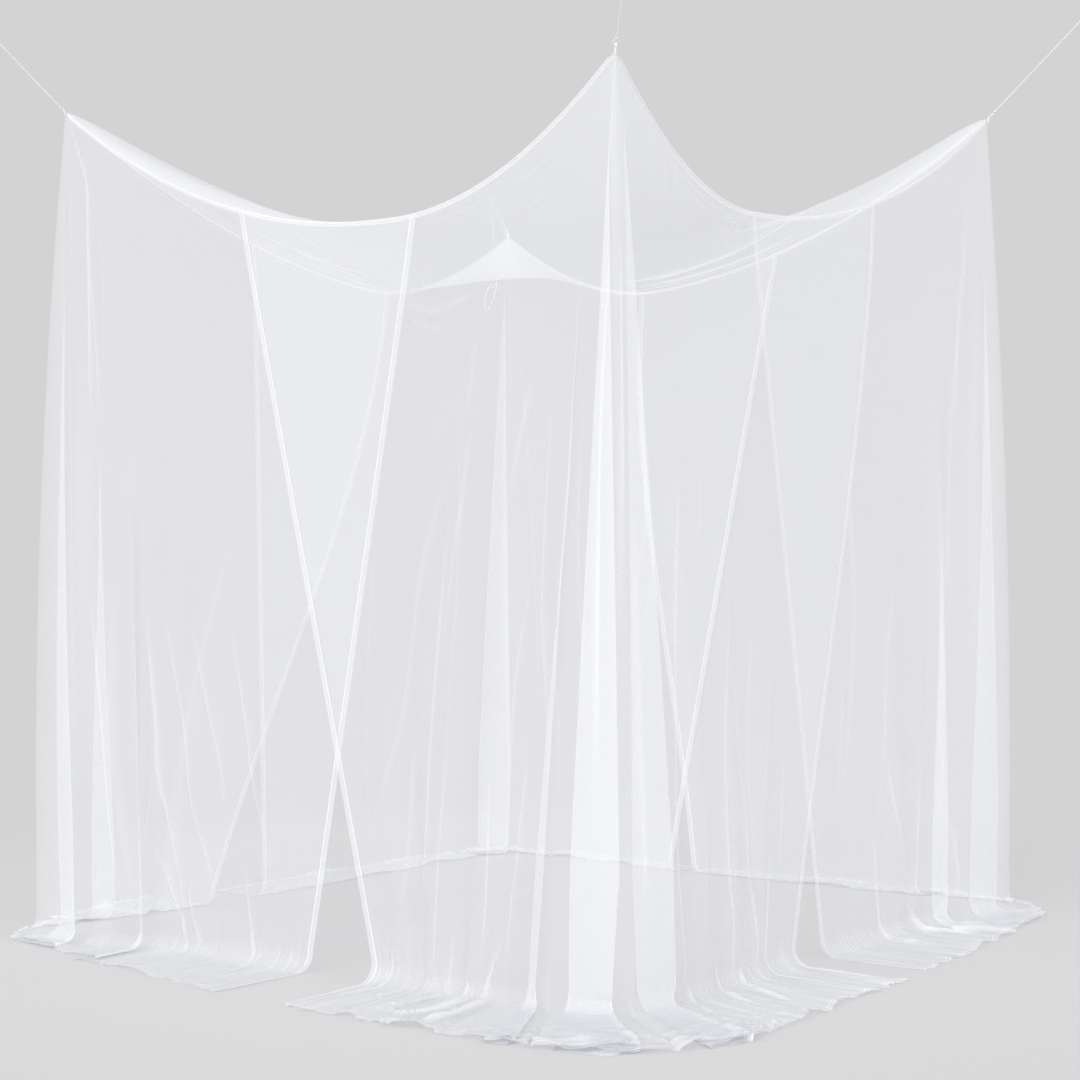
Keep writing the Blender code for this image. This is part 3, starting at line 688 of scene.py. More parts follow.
nearWall = {
    "first": "front_left",
    "second": "front_right",
    "firstPly": 1,
    "secondPly": 1,
    "round": 0.1,
    "spread": 0.75,
    "columns": (
        (-132, -118, 0, -72, 0, 34),
        (-102, -86, 0, -61.5, 0, 35.5),
        (-72, -50, 0, -49, 0.6, 36),
        (-48, -16, 0, -35, 1.4, 37.5),
        (-32, -4.5, 0, -22.5, 2, 38.5),
        (0, 0, 0, -2, 3, 39),
        (32, 4.5, 0, 23.5, 2, 38.5),
        (48, 16, 0, 36, 1.4, 35),
        (76, 50, 0, 54, 0.6, 33.5),
        (106, 88, 2, 68, 0, 33),
        (137, 123, 3.5, 80, 0, 31.5),
    ),
    "folds": (
        (-102, 10, 0, 1, 60),
        (-78, 9, 0, 2, 40),
        (-54, 8, 0, 2.6, 30),
        (-31, 8, 4.8, 2.2, 25),
        (-7, 15, 10.5, 3.4, 3),
        (20, 11, 7.8, 2.8, 3),
        (47, 8, 0, 2.6, 30),
        (68, 8, 0, 2.2, 40),
        (90, 9, 0, 1.6, 50),
    ),
    "bunched": 1,
    "sheer": 0,
    "ripple": (0.004, 0.004),
    "creases": (
        # down the front left side
        (((-33.8, 55), (-32.5, 97), (-25, 144), (-24, 158)), 5.5, 3, 0.3),
        (((-68, 60), (-77.4, 81), (-85, 107), (-94, 127), (-119, 160)), 10, 4, 0.1),
        (((-70, 75), (-76, 127), (-80, 156), (-92, 185)), 5.5, 3, 0.2),
        (((-66, 70), (-72, 105)), 6, 2, 0.1),
        (((-63.9, 36), (-65.5, 52)), 6, 2, 0.1),
        (((-64.6, 56), (-67.5, 82)), 6, 2, 0.1),
        (((-35.1, 47), (-33.1, 66)), 4, 2, 0.15),
        (((-49, 57), (-52, 75), (-53, 85)), 6, 2, 0.12),
        (((-44, 108), (-46.5, 132), (-45, 162)), 5, 3, 0.16),
        (((-42, 69), (-40, 107), (-37.5, 132), (-34.5, 160)), 4, 3, 0.16),
        (((-39.5, 150), (-40.8, 180), (-42, 202)), 5.5, 3, 0.16),
        (((-52, 145), (-50.5, 172), (-50, 195)), 4, 3, 0.2),
        (((-70, 128), (-73.6, 157), (-76, 186)), 5, 3, 0.18),
        (((-84, 125), (-91, 150), (-96, 162), (-101, 170)), 13, 4, 0.11),
        (((-66, 172), (-70, 192), (-80, 214)), 5.5, 5, 0.18),
        (((-44, 193), (-48, 202), (-50, 216), (-52, 230)), 6, 7, 0.3),
        (((-55, 190), (-57, 204), (-66, 218)), 6, 6, 0.25),
        (((-75, 208), (-69, 210), (-60, 215), (-54, 212), (-54, 196)), 12, 10, 0.26),
        (((-47, 202), (-48, 218), (-50, 224), (-53, 234)), 12, 10, 0.3),
        (((-68, 218), (-52, 232), (-45, 240)), 12, 8, 0.24),
        (((-102, 195), (-84, 200), (-60, 207)), 10, 5, 0.12),
        (((-110, 178), (-115, 195), (-120, 210)), 6, 5, 0.16),
        (((-84, 20), (-72, 25), (-62, 24)), 7, 3, 0.12),
        (((-82, 24), (-71, 30), (-64, 28)), 6, 3, 0.12),
        # in the gather below the corner
        (((0, -40), (0, 100), (0, 260)), 150, 0, 0.1),
        (((-5, 22), (-16.4, 58), (-17.7, 144), (-17, 175)), 5.5, 0, 0.3),
        (((8, 30), (7.6, 90), (7.3, 130)), 4, 0, 0.25),
        (((10, 100), (10, 160), (10.5, 200)), 4, 0, 0.25),
        (((18, 70), (19, 106), (30, 142)), 5.5, 2, 0.14),
        (((0, -5), (0, 20), (-2, 50)), 4, 0, 0.35),
        # down the front right side
        (((50, 70), (43.3, 105), (38.8, 142), (35, 178), (37, 218)), 5.5, 4, 0.34),
        (((70, 82), (69, 101), (65, 130), (64, 161), (65, 180), (62, 203)), 4, 4, 0.3),
        (((72, 100), (71.5, 126), (78, 147), (80, 160), (86, 180), (80, 200)), 5.5, 4, 0.26),
        (((60, 70), (57, 92)), 6, 2, 0.1),
        (((105, 135), (109.5, 170)), 4, 3, 0.3),
        (((56, 105), (49, 135), (48.4, 160), (44, 195)), 5.5, 2, 0.15),
        (((93, 110), (89, 150)), 6, 2, 0.14),
        (((56, 190), (47, 211), (45, 224)), 6, 7, 0.28),
        (((70, 182), (63, 201), (58, 220)), 6, 7, 0.28),
        (((38, 206), (30, 232)), 6, 6, 0.22),
        (((35, 45), (31, 82)), 7, 2, 0.08),
        (((95, 155), (97, 185), (90, 210)), 5.5, 5, 0.18),
        (((87, -1), (70, 5)), 5.5, 3, 0.16),
        (((87, 2), (68, 9)), 5.5, 3, 0.16),
        (((87, 6), (70, 11)), 5.5, 3, 0.14),
        (((44, 8), (47.5, 17)), 5.5, 2, 0.14),
        (((52, 4), (50.5, 15)), 5, 2, 0.14),
        (((53, 1), (58, 10)), 5.5, 2, 0.14),
    ),
}
leftWall = {
    "first": "rear_left",
    "second": "front_left",
    "firstPly": 1,
    "secondPly": -1,
    "round": 0.06,
    "spread": 0.35,
    "columns": (
        (-142, -134, -9, -57, 0, 30),
        (-105, -90, -6, -44, 0.4, 28),
        (-65, -40, -2, -30, 2.5, 23),
        (-30, -6, 0, -14, 7.5, 12),
        (0, 0, 0, 0, 11.5, 6.5),
        (30, 6, 0, 16, 7.5, 12),
        (65, 44, 0, 44, 2.5, 24),
        (100, 88, 0, 70, 0.4, 30),
        (136, 126, 0, 92, 0, 33),
    ),
    "folds": (
        (-85, 10, 0, 2, 50),
        (-40, 10, 5, 2.2, 25),
        (20, 16, 11.8, 2.6, 5),
        (53, 10, 6.6, 2.2, 25),
        (78, 11, 0, 1.8, 50),
    ),
    "bunched": 0.35,
    "sheer": 0,
    "ripple": (0.0018, 0.004),
    "creases": (
        # towards the front
        (((14, 0), (31.8, 10), (35.2, 27), (36.5, 80)), 5.5, 4, 0.26),
        (((35.5, 34), (39, 60), (40, 80)), 5, 2, 0.15),
        (((36, 125), (39.8, 159), (41.8, 183), (45, 202)), 5.5, 4, 0.26),
        (((44, 115), (43.1, 156), (44.4, 178), (47, 205)), 12, 4, 0.1),
        (((50, 122), (49.7, 158), (49, 176)), 5, 3, 0.16),
        (((58, 112), (61, 140), (61.7, 156), (64, 166), (70, 183), (72, 200)), 6, 4, 0.2),
        (((62, 112), (67, 129), (70.3, 140), (73.6, 155), (80, 165), (86, 180)), 6, 4, 0.17),
        (((72, 110), (80.9, 133), (84.9, 144), (86.5, 155)), 6, 3, 0.15),
        (((85, 105), (92.9, 129), (98.2, 145), (111, 167)), 6, 3, 0.15),
        (((60, 174), (67, 186), (71, 189), (76, 200)), 7, 4, 0.18),
        (((72, 177), (81, 192)), 6, 3, 0.15),
        (((33, 70), (33, 130), (31, 195)), 30, 2, 0.07),
        (((95, 162), (105, 190), (115, 208)), 6, 5, 0.15),
        # towards the rear
        (((-70, 155), (-66, 182), (-66, 195)), 6, 3, 0.15),
        (((-38, 12), (-42, 70), (-40, 140)), 6, 3, 0.12),
        (((-95, 80), (-88, 140), (-90, 180)), 7, 3, 0.1),
        (((-20, 20), (-24, 100), (-22, 190)), 8, 3, 0.1),
    ),
}
rightWall = {
    "first": "front_right",
    "second": "rear_right",
    "firstPly": -1,
    "secondPly": 1,
    "round": 0.06,
    "spread": 0.35,
    "columns": (
        (-146, -134, 0, -99, 0, 31),
        (-110, -94, 0, -76, 0.4, 29.5),
        (-70, -48, 0, -49, 2, 25),
        (-32, -6, 0, -18, 6.5, 16),
        (0, 0, 0, 0, 10, 9),
        (32, 6, 0, 16, 6.5, 12),
        (68, 44, 2, 48, 2, 17),
        (102, 86, 4, 78, 0.4, 16),
        (136, 125, 6, 105, 0, 15),
    ),
    "folds": (
        (-84, 10, 0, 1.8, 50),
        (-56, 9, 5, 2.2, 30),
        (-29, 17, 10.5, 2.6, 5),
        (44, 10, 5, 2.2, 25),
        (80, 10, 0, 1.8, 50),
    ),
    "bunched": 0.35,
    "sheer": 0,
    "ripple": (0.004, 0.0018),
    "creases": (
        # towards the front
        (((-59, 65), (-61.2, 109), (-61.2, 142), (-62.5, 181), (-62.5, 210)), 8, 4, 0.15),
        (((-49, 105), (-53, 145), (-59.5, 190)), 4, 2, 0.18),
        (((-82, 100), (-88, 120), (-90, 132), (-92, 151), (-102, 182)), 6, 3, 0.16),
        (((-91, 146), (-86.8, 164), (-80, 183), (-75, 205)), 5.5, 3, 0.24),
        (((-114, 114), (-119.8, 138), (-127, 158)), 6, 3, 0.16),
        (((-48, 190), (-45, 218)), 5, 3, 0.18),
        (((-76, 195), (-70, 206), (-64, 218), (-60, 232)), 14, 13, 0.17),
        (((-60, 202), (-52, 216), (-44, 232)), 11, 10, 0.15),
        (((-42, 15), (-45, 35), (-47.7, 53), (-47.7, 85)), 5.5, 3, 0.2),
        (((-37.6, 25), (-42.4, 81), (-43, 120), (-40, 195)), 22, 2, 0.07),
        (((-100, 160), (-98, 190), (-90, 210)), 6, 5, 0.16),
        (((-30, 10), (-33, 90), (-31, 180)), 6, 2, 0.14),
        # towards the rear
        (((30, 15), (36, 80), (34, 160)), 7, 3, 0.12),
        (((70, 60), (66, 120), (70, 185)), 7, 3, 0.11),
        (((100, 110), (106, 160), (104, 195)), 6, 3, 0.12),
    ),
}
backWall = {
    "first": "rear_right",
    "second": "rear_left",
    "firstPly": -1,
    "secondPly": -1,
    "round": 0.06,
    "spread": 0.35,
    "columns": (
        (-126, -109, 0, -69, 0, 15),
        (-92, -74, 0, -56, 0, 15),
        (-60, -38, 0, -40, 1, 15),
        (-30, -6, 0, -18, 2, 14),
        (0, 0, 0, 0, 3.5, 13),
        (30, 6, 0, 16, 2, 17),
        (65, 44, 0, 46, 1, 20),
        (102, 86, 0, 85, 0, 23),
        (136, 124, 0, 119.5, 0, 22),
    ),
    "folds": (
        (-68, 10, 0, 1.8, 50),
        (-36, 10, 0, 2, 25),
        (10, 15, 8, 2.4, 5),
        (50, 10, 0, 2, 30),
        (84, 10, 0, 1.6, 50),
    ),
    "bunched": 0.35,
    "sheer": -0.035,
    "ripple": (0.0018, 0.0018),
    "creases": (
        (((-90, 60), (-84, 120), (-80, 185)), 7, 3, 0.11),
        (((-55, 30), (-50, 90), (-52, 170)), 6, 3, 0.12),
        (((-22, 15), (-26, 90), (-24, 185)), 6, 3, 0.14),
        (((14, 10), (20, 80), (18, 190)), 6, 3, 0.14),
        (((50, 35), (46, 95), (50, 175)), 6, 3, 0.12),
        (((86, 70), (90, 130), (88, 190)), 7, 3, 0.11),
    ),
}
wallPanels = {"near": nearWall, "left": leftWall, "right": rightWall, "back": backWall}
for panel in wallPanels.values():
    panel["columns"] = np.array(panel["columns"]) / 100
    panel["folds"] = [wallFold(*(value / 100 for value in row)) for row in panel["folds"]]


# A column's values at any place in the cloth, along a smooth curve through the given columns.
def between(rows, at):
    last = len(rows) - 1
    index = min(int(np.searchsorted(rows[1:, 0], at)), last - 1)
    start, end = rows[index], rows[index + 1]
    wide = end[0] - start[0]
    share = (at - start[0]) / wide

    def slope(here):
        low, high = rows[max(here - 1, 0)], rows[min(here + 1, last)]
        return (high - low) / (high[0] - low[0])

    lead, trail = slope(index) * wide, slope(index + 1) * wide
    cube, square = share**3, share**2
    found = (2 * cube - 3 * square + 1) * start + (cube - 2 * square + share) * lead
    found = found + (3 * square - 2 * cube) * end + (cube - square) * trail
    return found[1:].tolist()


def towards(edgeName, cornerName):
    edge = roofEdges[edgeName]
    other = edge.end if edge.start == cornerName else edge.start
    return (cornerPlace(other) - cornerPlace(cornerName)).normalized()


wallMesh = {
    "columns": 540,
    "seamRows": (0, 0.0035, 0.007, 0.011, 0.018),  # close rows below the seam, as shares
    "hungFrom": 0.03,
    "hungRows": 120,
    "bendRows": 8,
    "lyingRows": 24,
    "rippleWaves": ((0.046, 0.6, 0.4), (0.027, 0.4, 1.9), (0.085, 0.45, 3.1)),
    "rippleFrom": 0.2,  # height above the floor where the ripples begin
    "rippleUneven": (0.7, 17, 7.3, 2),  # how far that goes up and down, with two rates and a shift
    "rippleSoft": 1.5,  # power with which they grow towards the floor
    "sideSoft": 0.05,  # how fast the ripples change from one side's height to the other's
    "slopeCover": 0.24,  # a ripple's flanks hide this much more, for each unit of their slope
    "steepest": 0.6,  # slope past which they hide no more
    "narrowest": 0.002,  # a step over the cloth counts as no narrower than this in a slope
    "lyingCover": 0.3,  # on the floor it is seen at a low angle, where netting closes up
    "gatherSheer": 0.55,  # share of that cover which a gathered corner goes without
    "turnCover": 0.34,  # where a fold turns back, netting is seen edge on and closes up
    "turnSpread": 0.35,  # width that a turn takes up, as a share of its cloth
    "crumpleRise": 0.02,
    "crumpleCover": 0.42,
    "crumpleLong": 0.17,  # how far in from the hem the crumples reach
    "crumpleWide": 0.42,  # how far to each side of the corner they reach
    "crumpleFolds": ((0.3, 0.075, 0.5, 0.4), (1.2, 0.05, 0.4, 2.2), (-0.7, 0.038, 0.35, 4.1)),
    "hemUneven": 0.07,  # share by which the length on the floor is drawn in here and there
    "hemDrawn": (27, 2.2, 11),  # its rate along the hem, and a swing with its own rate
    "hemRise": 0.006,  # how high the lying hem stands at its puckers
    "hemPucker": ((0.06, 0.6, 1.3), (0.033, 0.5, 0.2)),
    "hemSoft": 0.025,  # how far in from the hem they fade
}


# All points down one column of a wall panel: hung (0), bending (1) and lying (2).
def columnPoints(panel, cornerName, cloth, levels):
    shape = hangingShape
    seam, bow, floor, stood, trail = between(panel["columns"], cloth)
    edgeName = panel["first"] if seam < 0 else panel["second"]
    fromStart = abs(seam)
    if roofEdges[edgeName].start != cornerName:
        fromStart = edgeLength(edgeName) - fromStart
    top = seamHeight(edgeName, fromStart)
    wall = top - shape["bend"]
    rate, swing, swingRate = wallMesh["hemDrawn"]
    drawn = 0.5 + 0.5 * math.sin(rate * cloth + swing * math.sin(swingRate * cloth + 1))
    lie = (trail - shape["bend"]) * (1 - wallMesh["hemUneven"] * drawn)
    first, second = towards(panel["first"], cornerName), towards(panel["second"], cornerName)
    corner = cornerPlace(cornerName)
    folds = [fold for fold in panel["folds"] if abs(cloth - fold.cloth) < fold.half]
    depth = sum(fold.depth for fold in folds)
    ply = panel["firstPly"] if seam < 0 else panel["secondPly"]
    layer = (shape["net"] + shape["air"]) / 2 * ply
    overlapped = smooth((abs(seam) - shape["plyFrom"]) / shape["plyOver"])
    points = []
    for stage, level in levels:
        hung = (level if stage == 0 else 1) * wall
        aside, out = 0.0, 0.0
        for fold in folds:
            share = (cloth - fold.cloth) / fold.half
            grown = max(hung - fold.start, 0) / (wall - fold.start)
            if fold.overlap:
                grown = min(grown * shape["foldGrowth"], 1)
                aside -= fold.overlap * grown * math.sin(math.pi * share)
                out -= fold.depth * grown * math.sin(math.pi * share)
            else:
                out += fold.depth * smooth(grown) * (1 + math.cos(math.pi * share)) / 2
        fallen = hung / wall
        bowed = 27 / 4 * fallen * (1 - fallen) ** 2  # 1 at a third of the way down
        run = seam + (floor - seam) * fallen + bow * bowed + aside
        reached = math.hypot(run, shape["cornerRound"] + panel["round"] * hung / top)
        back, ahead = (reached - run) / 2, (reached + run) / 2
        place = corner + first * back + second * ahead
        along = (second * ahead - first * back).normalized()
        outward = Vector((along.y, -along.x, 0))
        below = max(hung - shape["tapeTall"], 0) / (wall - shape["tapeTall"])
        apart = ply * (shape["ply"] / 2 - abs(layer)) * overlapped
        offset = layer + apart * smooth(hung / shape["plyDrop"])
        offset += stood * below * (2 - below)
        if stage == 0:
            point = place + outward * (offset + out)
            point.z = top - hung
            points.append(point)
            continue
        under = shape["aboveFloor"] + shape["net"] / 2 + depth * shape["layDepth"]
        turn = math.pi / 2 * (level if stage == 1 else 1)
        onFloor = shape["bend"] * (1 - math.cos(turn)) + (lie * level if stage == 2 else 0)
        rise = under + (shape["bend"] - under) * (1 - math.sin(turn))
        bulge = out * (shape["layDepth"] if stage == 2 else 1 - (1 - shape["layDepth"]) * level)
        fanned = math.pi / 4 * math.sin(math.pi / 2 * min(abs(run) / panel["spread"], 1))
        fanned = math.pi / 4 + math.copysign(fanned, run)
        away = -(first * math.sin(fanned) + second * math.cos(fanned))
        point = place + outward * (offset + bulge * math.cos(turn)) + away * onFloor
        point.z = rise + bulge * math.sin(turn)
        points.append(point)
    return points


def makeWall(cornerName):
    panel, values = wallPanels[cornerName], wallMesh
    shares = [*values["seamRows"], *np.linspace(values["hungFrom"], 1, values["hungRows"] + 1)]
    levels = [(0, float(share)) for share in shares]
    for stage, rows in ((1, values["bendRows"]), (2, values["lyingRows"])):
        levels += [(stage, (row + 1) / rows) for row in range(rows)]
    start, end = panel["columns"][0, 0], panel["columns"][-1, 0]
    places = np.linspace(start, end, values["columns"])
    grid = [columnPoints(panel, cornerName, float(cloth), levels) for cloth in places]
    points = np.array(grid, float).transpose(1, 0, 2)
    down, fromFirst = clothRun(points, 0), clothRun(points, 1)
    across = np.broadcast_to(places, down.shape)
    hung = down[len(shares) - 1]
    toFloor, toHem = hung - down, down[-1:] - down
    onFloor = np.clip(-toFloor / (hangingShape["bend"] * math.pi / 2), 0, 1)
    raised, cover = creaseRelief(panel["creases"], across, down)
    # whiter where the overlapping folds turn back
    spread = np.linalg.norm(np.gradient(points[..., :2], places, axis=1), axis=2)
    turned = np.exp(-((spread / values["turnSpread"]) ** 2))
    turned = turned * np.clip(down / hung, 0, 1) ** 2
    for fold in panel["folds"]:
        if fold.overlap:
            within = np.abs(across - fold.cloth) < fold.half
            cover = cover + values["turnCover"] * turned * within
    # ripples near the floor
    size, rate, otherRate, shift = values["rippleUneven"]
    begins = 1 + size * np.sin(across * rate) * np.sin(across * otherRate + shift)
    low = np.clip(1 - toFloor / (values["rippleFrom"] * begins), 0, 1) ** values["rippleSoft"]
    second = 1 / (1 + np.exp(-across / values["sideSoft"]))
    height = panel["ripple"][0] * (1 - second) + panel["ripple"][1] * second
    raised = raised + height * ripples(across, down, values["rippleWaves"]) * low
    # crumples where it is bunched up on the floor, and puckers along the hem
    gathered = np.exp(-((across / values["crumpleWide"]) ** 4)) * panel["bunched"]
    bunched = gathered * onFloor * np.exp(-((toHem / values["crumpleLong"]) ** 2))
    crumpled = crumples(across, down, values["crumpleFolds"])
    raised = raised + values["crumpleRise"] * crumpled * bunched
    pucker = ripples(across, 0 * down, values["hemPucker"])
    raised = raised + values["hemRise"] * pucker * np.exp(-((toHem / values["hemSoft"]) ** 2))
    steep = np.maximum(np.abs(np.gradient(fromFirst, axis=1)), values["narrowest"])
    steep = np.minimum(np.abs(np.gradient(raised, axis=1)) / steep, values["steepest"])
    cover = cover + values["slopeCover"] * steep * np.maximum(low, bunched)
    lying = onFloor * (1 - values["gatherSheer"] * gathered)
    cover = cover + values["lyingCover"] * lying + panel["sheer"]
    cover = cover + values["crumpleCover"] * crumpled * bunched
    points = points + outOfCloth(points) * raised[..., None]
    lowest = hangingShape["aboveFloor"] + hangingShape["net"] / 2
    points[..., 2] = np.maximum(points[..., 2], lowest)
    fromSides = np.minimum(fromFirst, fromFirst[:, -1:] - fromFirst)
    wall = makeCloth(
        f"wall_panel_{cornerName}",
        f"netting_wall_{cornerName}",
        points,
        netting,
        uv=(across, down),
        values={"crease": cover, "fromEdge": np.minimum(fromSides, toHem)},
    )
    print("wall", cornerName, "made, flat about", round(float(end - start), 2), "m across")
    return wall


roofCloth = {
    "steps": 180,
    "turnedIn": 0.008,
    "slantCover": 0.23,  # the roof is seen at a low angle, where netting closes up
    "size": (1.85, 1.94),  # the creases' places run over this size, from the near corner
    "creases": (
        # long folds towards the back corner
        (((122, 162), (95, 166), (60, 162), (25, 142)), 24, 16, 0.22),
        (((126, 176), (98, 182), (75, 184), (40, 176)), 14, 10, 0.24),
        (((120, 169), (90, 174), (55, 171)), 12, -10, -0.1),
        (((134, 186), (100, 190), (55, 190)), 14, 8, 0.22),
        # along the rear left seam
        (((183, 10), (183, 70), (181, 160)), 16, 6, 0.22),
        (((178, 60), (172, 90), (168, 112)), 10, 7, 0.16),
        (((170, 60), (174, 90), (180, 126)), 10, 7, 0.16),
        (((160, 52), (162, 90), (170, 134)), 12, 6, 0.12),
        # the cone that the back corner pulls up
        (((210, 220), (175, 184), (135, 142)), 170, 0, 0.24),
        # short folds inside the front right seam
        (((2, 48), (11, 54)), 8, 4, 0.14),
        (((3, 55), (14, 62)), 8, 4, 0.14),
        (((3, 62), (15, 70)), 8, 4, 0.12),
        (((3, 70), (15, 80)), 8, 4, 0.12),
        (((2, 25), (4.5, 55), (3, 90)), 6, 4, 0.18),
        (((5, 30), (7, 60), (5.5, 95)), 6, 4, 0.14),
        # along the front left seam
        (((40, 3), (80, 4.5), (120, 3)), 8, 4, 0.14),
        (((36, 22), (45, 25)), 7, 4, 0.14),
        (((20, 10), (50, 9), (80, 10)), 10, 4, 0.08),
    ),
}


# How far the roof stands above its plain shape along the rolled seams.
def roofRoll(across, along):
    total = 0.0
    for name, inward, share in (
        ("front_left", along, across),
        ("front_right", across, along),
        ("rear_left", 1 - across, 1 - along),
        ("rear_right", 1 - along, 1 - across),
    ):
        edge = roofEdges[name]
        away = inward * hangingShape["roofSide"] / hangingShape["rollWide"]
        spread = math.exp(-(((share - edge.rollAt) / hangingShape["rollLong"]) ** 2))
        total += edge.roll * spread * away * math.exp(1 - away)
    return total


def roofPoint(across, along, turned):
    place = Vector((0, 0, 0))
    for name, _, share in cornerShares(across, along):
        place += cornerPlace(name) * share
    inset = 1.5 * hangingShape["net"] + 2 * hangingShape["air"]
    place.x += inset if across == 1 else -inset if across == 0 else 0
    place.y += inset if along == 0 else -inset if along == 1 else 0
    place.z = roofHeight(across, along)
    place.z += -roofCloth["turnedIn"] if turned else roofRoll(across, along)
    return place


def makeRoof():
    steps = roofCloth["steps"]
    shares = [0]
    for step in range(1, steps):  # closer together towards the edges
        shares.append((1 - math.cos(math.pi * step / steps)) / 4 + step / steps / 2)
    shares = [0, *shares, 1, 1]  # with the turned edge on each side
    last = len(shares) - 1
    grid = []
    for row, along in enumerate(shares):
        line = []
        for column, across in enumerate(shares):
            turned = row in (0, last) or column in (0, last)
            line.append(roofPoint(across, along, turned))
        grid.append(line)
    points = np.array(grid, float)[::-1]
    wide, deep = roofCloth["size"]
    across = np.broadcast_to(np.array(shares) * wide, points.shape[:2])
    along = np.broadcast_to((np.array(shares)[::-1] * deep)[:, None], points.shape[:2])
    raised, cover = creaseRelief(roofCloth["creases"], across, along)
    out = outOfCloth(points[1:-1, 1:-1])
    points[1:-1, 1:-1] += out * raised[1:-1, 1:-1, None]
    far = np.full(points.shape[:2], 1.0)
    values = {"crease": cover + roofCloth["slantCover"], "fromEdge": far}
    roof = makeCloth(
        "roof_panel", "netting_roof", points, netting, uv=(across, along), values=values
    )
    print("roof made")
    return roof


seamTape = {"thick": 0.002, "above": 0.003, "steps": 90, "fromCorner": 0.016}


def makeTape(edgeName):
    edge, values = roofEdges[edgeName], seamTape
    start = cornerPlace(edge.start)
    ahead = (cornerPlace(edge.end) - start).normalized()
    middle = (cornerPlace("near") + cornerPlace("back")) / 2
    out = Vector((ahead.y, -ahead.x, 0))
    forward = out.dot(start + ahead - middle) > 0
    out = out if forward else -out
    length = edgeLength(edgeName)
    net, air, tall = hangingShape["net"], hangingShape["air"], hangingShape["tapeTall"]
    offset = (net + air) / 2 + net / 2 + air + values["thick"] / 2
    rows = [[], [], []]
    for step in range(values["steps"] + 1):
        share = (1 - math.cos(math.pi * step / values["steps"])) / 2
        run = values["fromCorner"] + (length - 2 * values["fromCorner"]) * share
        place = start + ahead * run + out * offset
        top = seamHeight(edgeName, run) + values["above"]
        for row, height in zip(rows, (top, top - tall / 2, top - tall)):
            row.append(place + Vector((0, 0, height)))
    if not forward:
        rows = [row[::-1] for row in rows]
    node = f"seam_tape_{edgeName}"
    return makeCloth(node, f"sheer_{node}", np.array(rows, float), binding)


# A short tape folded in two and sewn to a corner, its eye along the pull of the cord.
cornerLoop = {"wide": 0.006, "sewn": 0.012, "turnSteps": 9, "neckOpen": 0.0004, "middleOpen": 0.9}


def makeLoop(cornerName):
    values, cord = cornerLoop, hangingCord
    thick, middle = cord["loopThick"], loopMiddle(cornerName)
    half, leg = (cord["loopOpen"] + thick) / 2, (thick + cord["free"]) / 2
    ahead, aside = Vector((1, 1)).normalized(), Vector((-1, 1)).normalized()
    neck = Vector((middle, thick))
    far = (cord["loopNeck"], (cord["loopNeck"] + cord["loopEye"]) / 2, cord["loopEye"])
    wide = (leg + values["neckOpen"], half * values["middleOpen"], half)
    upper = [neck + ahead * one + aside * other for one, other in zip(far, wide)]
    lower = [neck + ahead * one - aside * other for one, other in zip(far, wide)]
    eye = neck + ahead * cord["loopEye"]
    turn = []
    for step in range(1, values["turnSteps"] + 1):
        angle = math.pi * step / (values["turnSteps"] + 1)
        turn.append(eye + ahead * half * math.sin(angle) + aside * half * math.cos(angle))
    outline = [Vector((middle - leg, -values["sewn"])), Vector((middle - leg, thick))]
    outline += upper + turn + lower[::-1]
    outline += [Vector((middle + leg, 0)), Vector((middle + leg, -values["sewn"]))]
    place, out, across = cornerFrame(cornerName)
    rows = []
    for flat in outline:
        centre = place + out * flat.x + Vector((0, 0, flat.y))
        rows.append([centre - across * values["wide"] / 2 * side for side in (-1, 0, 1)])
    node, points = f"corner_loop_{cornerName}", np.array(rows, float)
    return makeCloth(node, f"cotton_{node}", points, cottonTape, thick=thick)


walls = {name: makeWall(name) for name in wallPanels}
tapes = [makeTape(name) for name in roofEdges]
loops = [makeLoop(name) for name in hungCorners]
roof = makeRoof()
for name, wall in walls.items():
    panel = wallPanels[name]
print("cloth, tapes and loops made")

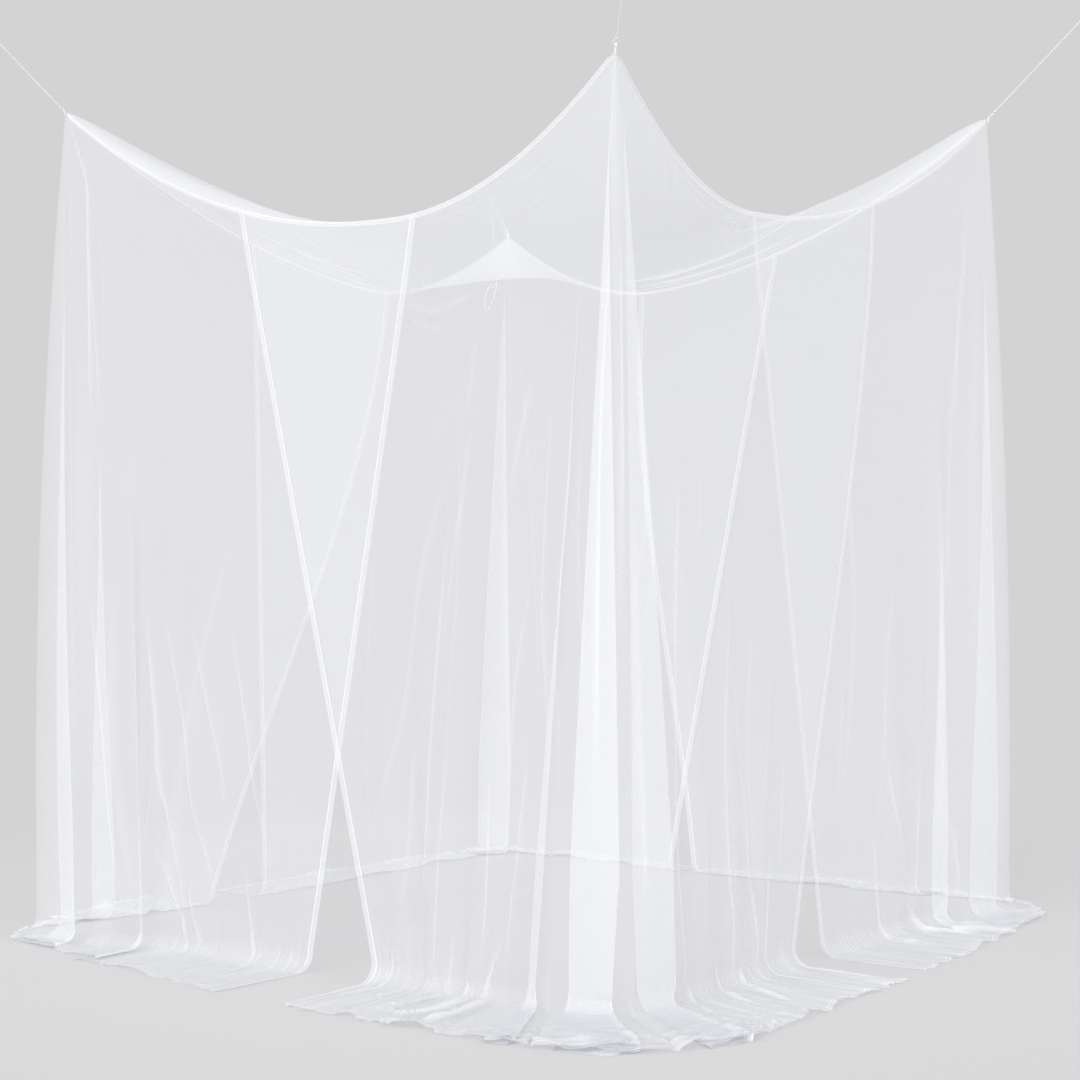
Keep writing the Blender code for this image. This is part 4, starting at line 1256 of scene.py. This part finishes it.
# Plain studio: a pale grey backdrop all round, the floor fading into it, two wide lamps, and a
# third for the light that a white floor throws up. It shines through the floor.
studio = {
    "backdrop": "#D3D3D4",
    "floor": "#DFDFDF",
    "floorRadius": 9,
    "floorSteps": 128,
    "belowFloor": 0.0002,
    "roughness": 1,  # of the floor
    "ior": 1.5,
    "fadeFrom": 1.75,  # metres from the middle where the floor begins to turn into the backdrop
    "fadeTo": 3.2,
    "lamps": (
        # turn from the camera's line and height in degrees, strength, width in degrees
        ("keyLamp", -38, 20, 1.75, 55),
        ("fillLamp", 48, 14, 1, 70),
        ("bounceLamp", 0, -65, 0.75, 90),
    ),
}


def makeStudio(values):
    world = bpy.data.worlds.new("studio")
    world.use_nodes = True
    world.node_tree.nodes["Background"].inputs["Color"].default_value = linear(values["backdrop"])
    bpy.context.scene.world = world
    bpy.ops.mesh.primitive_circle_add(
        vertices=values["floorSteps"],
        radius=values["floorRadius"],
        fill_type="NGON",
        location=(0, 0, -values["belowFloor"]),
    )
    floor = bpy.context.object
    floor.name = "studioFloor"
    made, shader = newMaterial("paleStudioFloor", values["floor"], values)
    shader.inputs["Specular IOR Level"].default_value = 0
    place = addNode(made, "TexCoord", {})
    away = addNode(made, "VectorMath", {"operation": "LENGTH"}, [(0, place, "Object")])
    ends = {"From Min": values["fadeFrom"], "From Max": values["fadeTo"]}
    ends["interpolation_type"] = "SMOOTHERSTEP"
    fade = addNode(made, "MapRange", ends, [("Value", away, "Value")])
    glow = addNode(made, "Emission", {"Color": linear(values["backdrop"]), "Strength": 1})
    sources = [("Fac", fade, "Result"), (1, shader, "BSDF"), (2, glow, "Emission")]
    mixed = addNode(made, "MixShader", {}, sources)
    output = next(node for node in made.node_tree.nodes if node.type == "OUTPUT_MATERIAL")
    link(made, mixed, "Shader", output, "Surface")
    floor.data.materials.append(made)
    floor.visible_shadow = False
    for name, turn, height, strength, wide in values["lamps"]:
        bpy.ops.object.light_add(type="SUN", location=(0, 0, 4))
        lamp = bpy.context.object
        lamp.name = name
        lamp.data.energy = strength
        lamp.data.angle = math.radians(wide)
        facing = photoCamera["turn"] + turn
        lamp.rotation_euler = (math.radians(90 - height), 0, math.radians(facing))


makeStudio(studio)
bpy.context.scene.view_settings.view_transform = "Standard"
bpy.context.scene.cycles.transparent_max_bounces = 48  # the view passes through many layers
print("studio made")
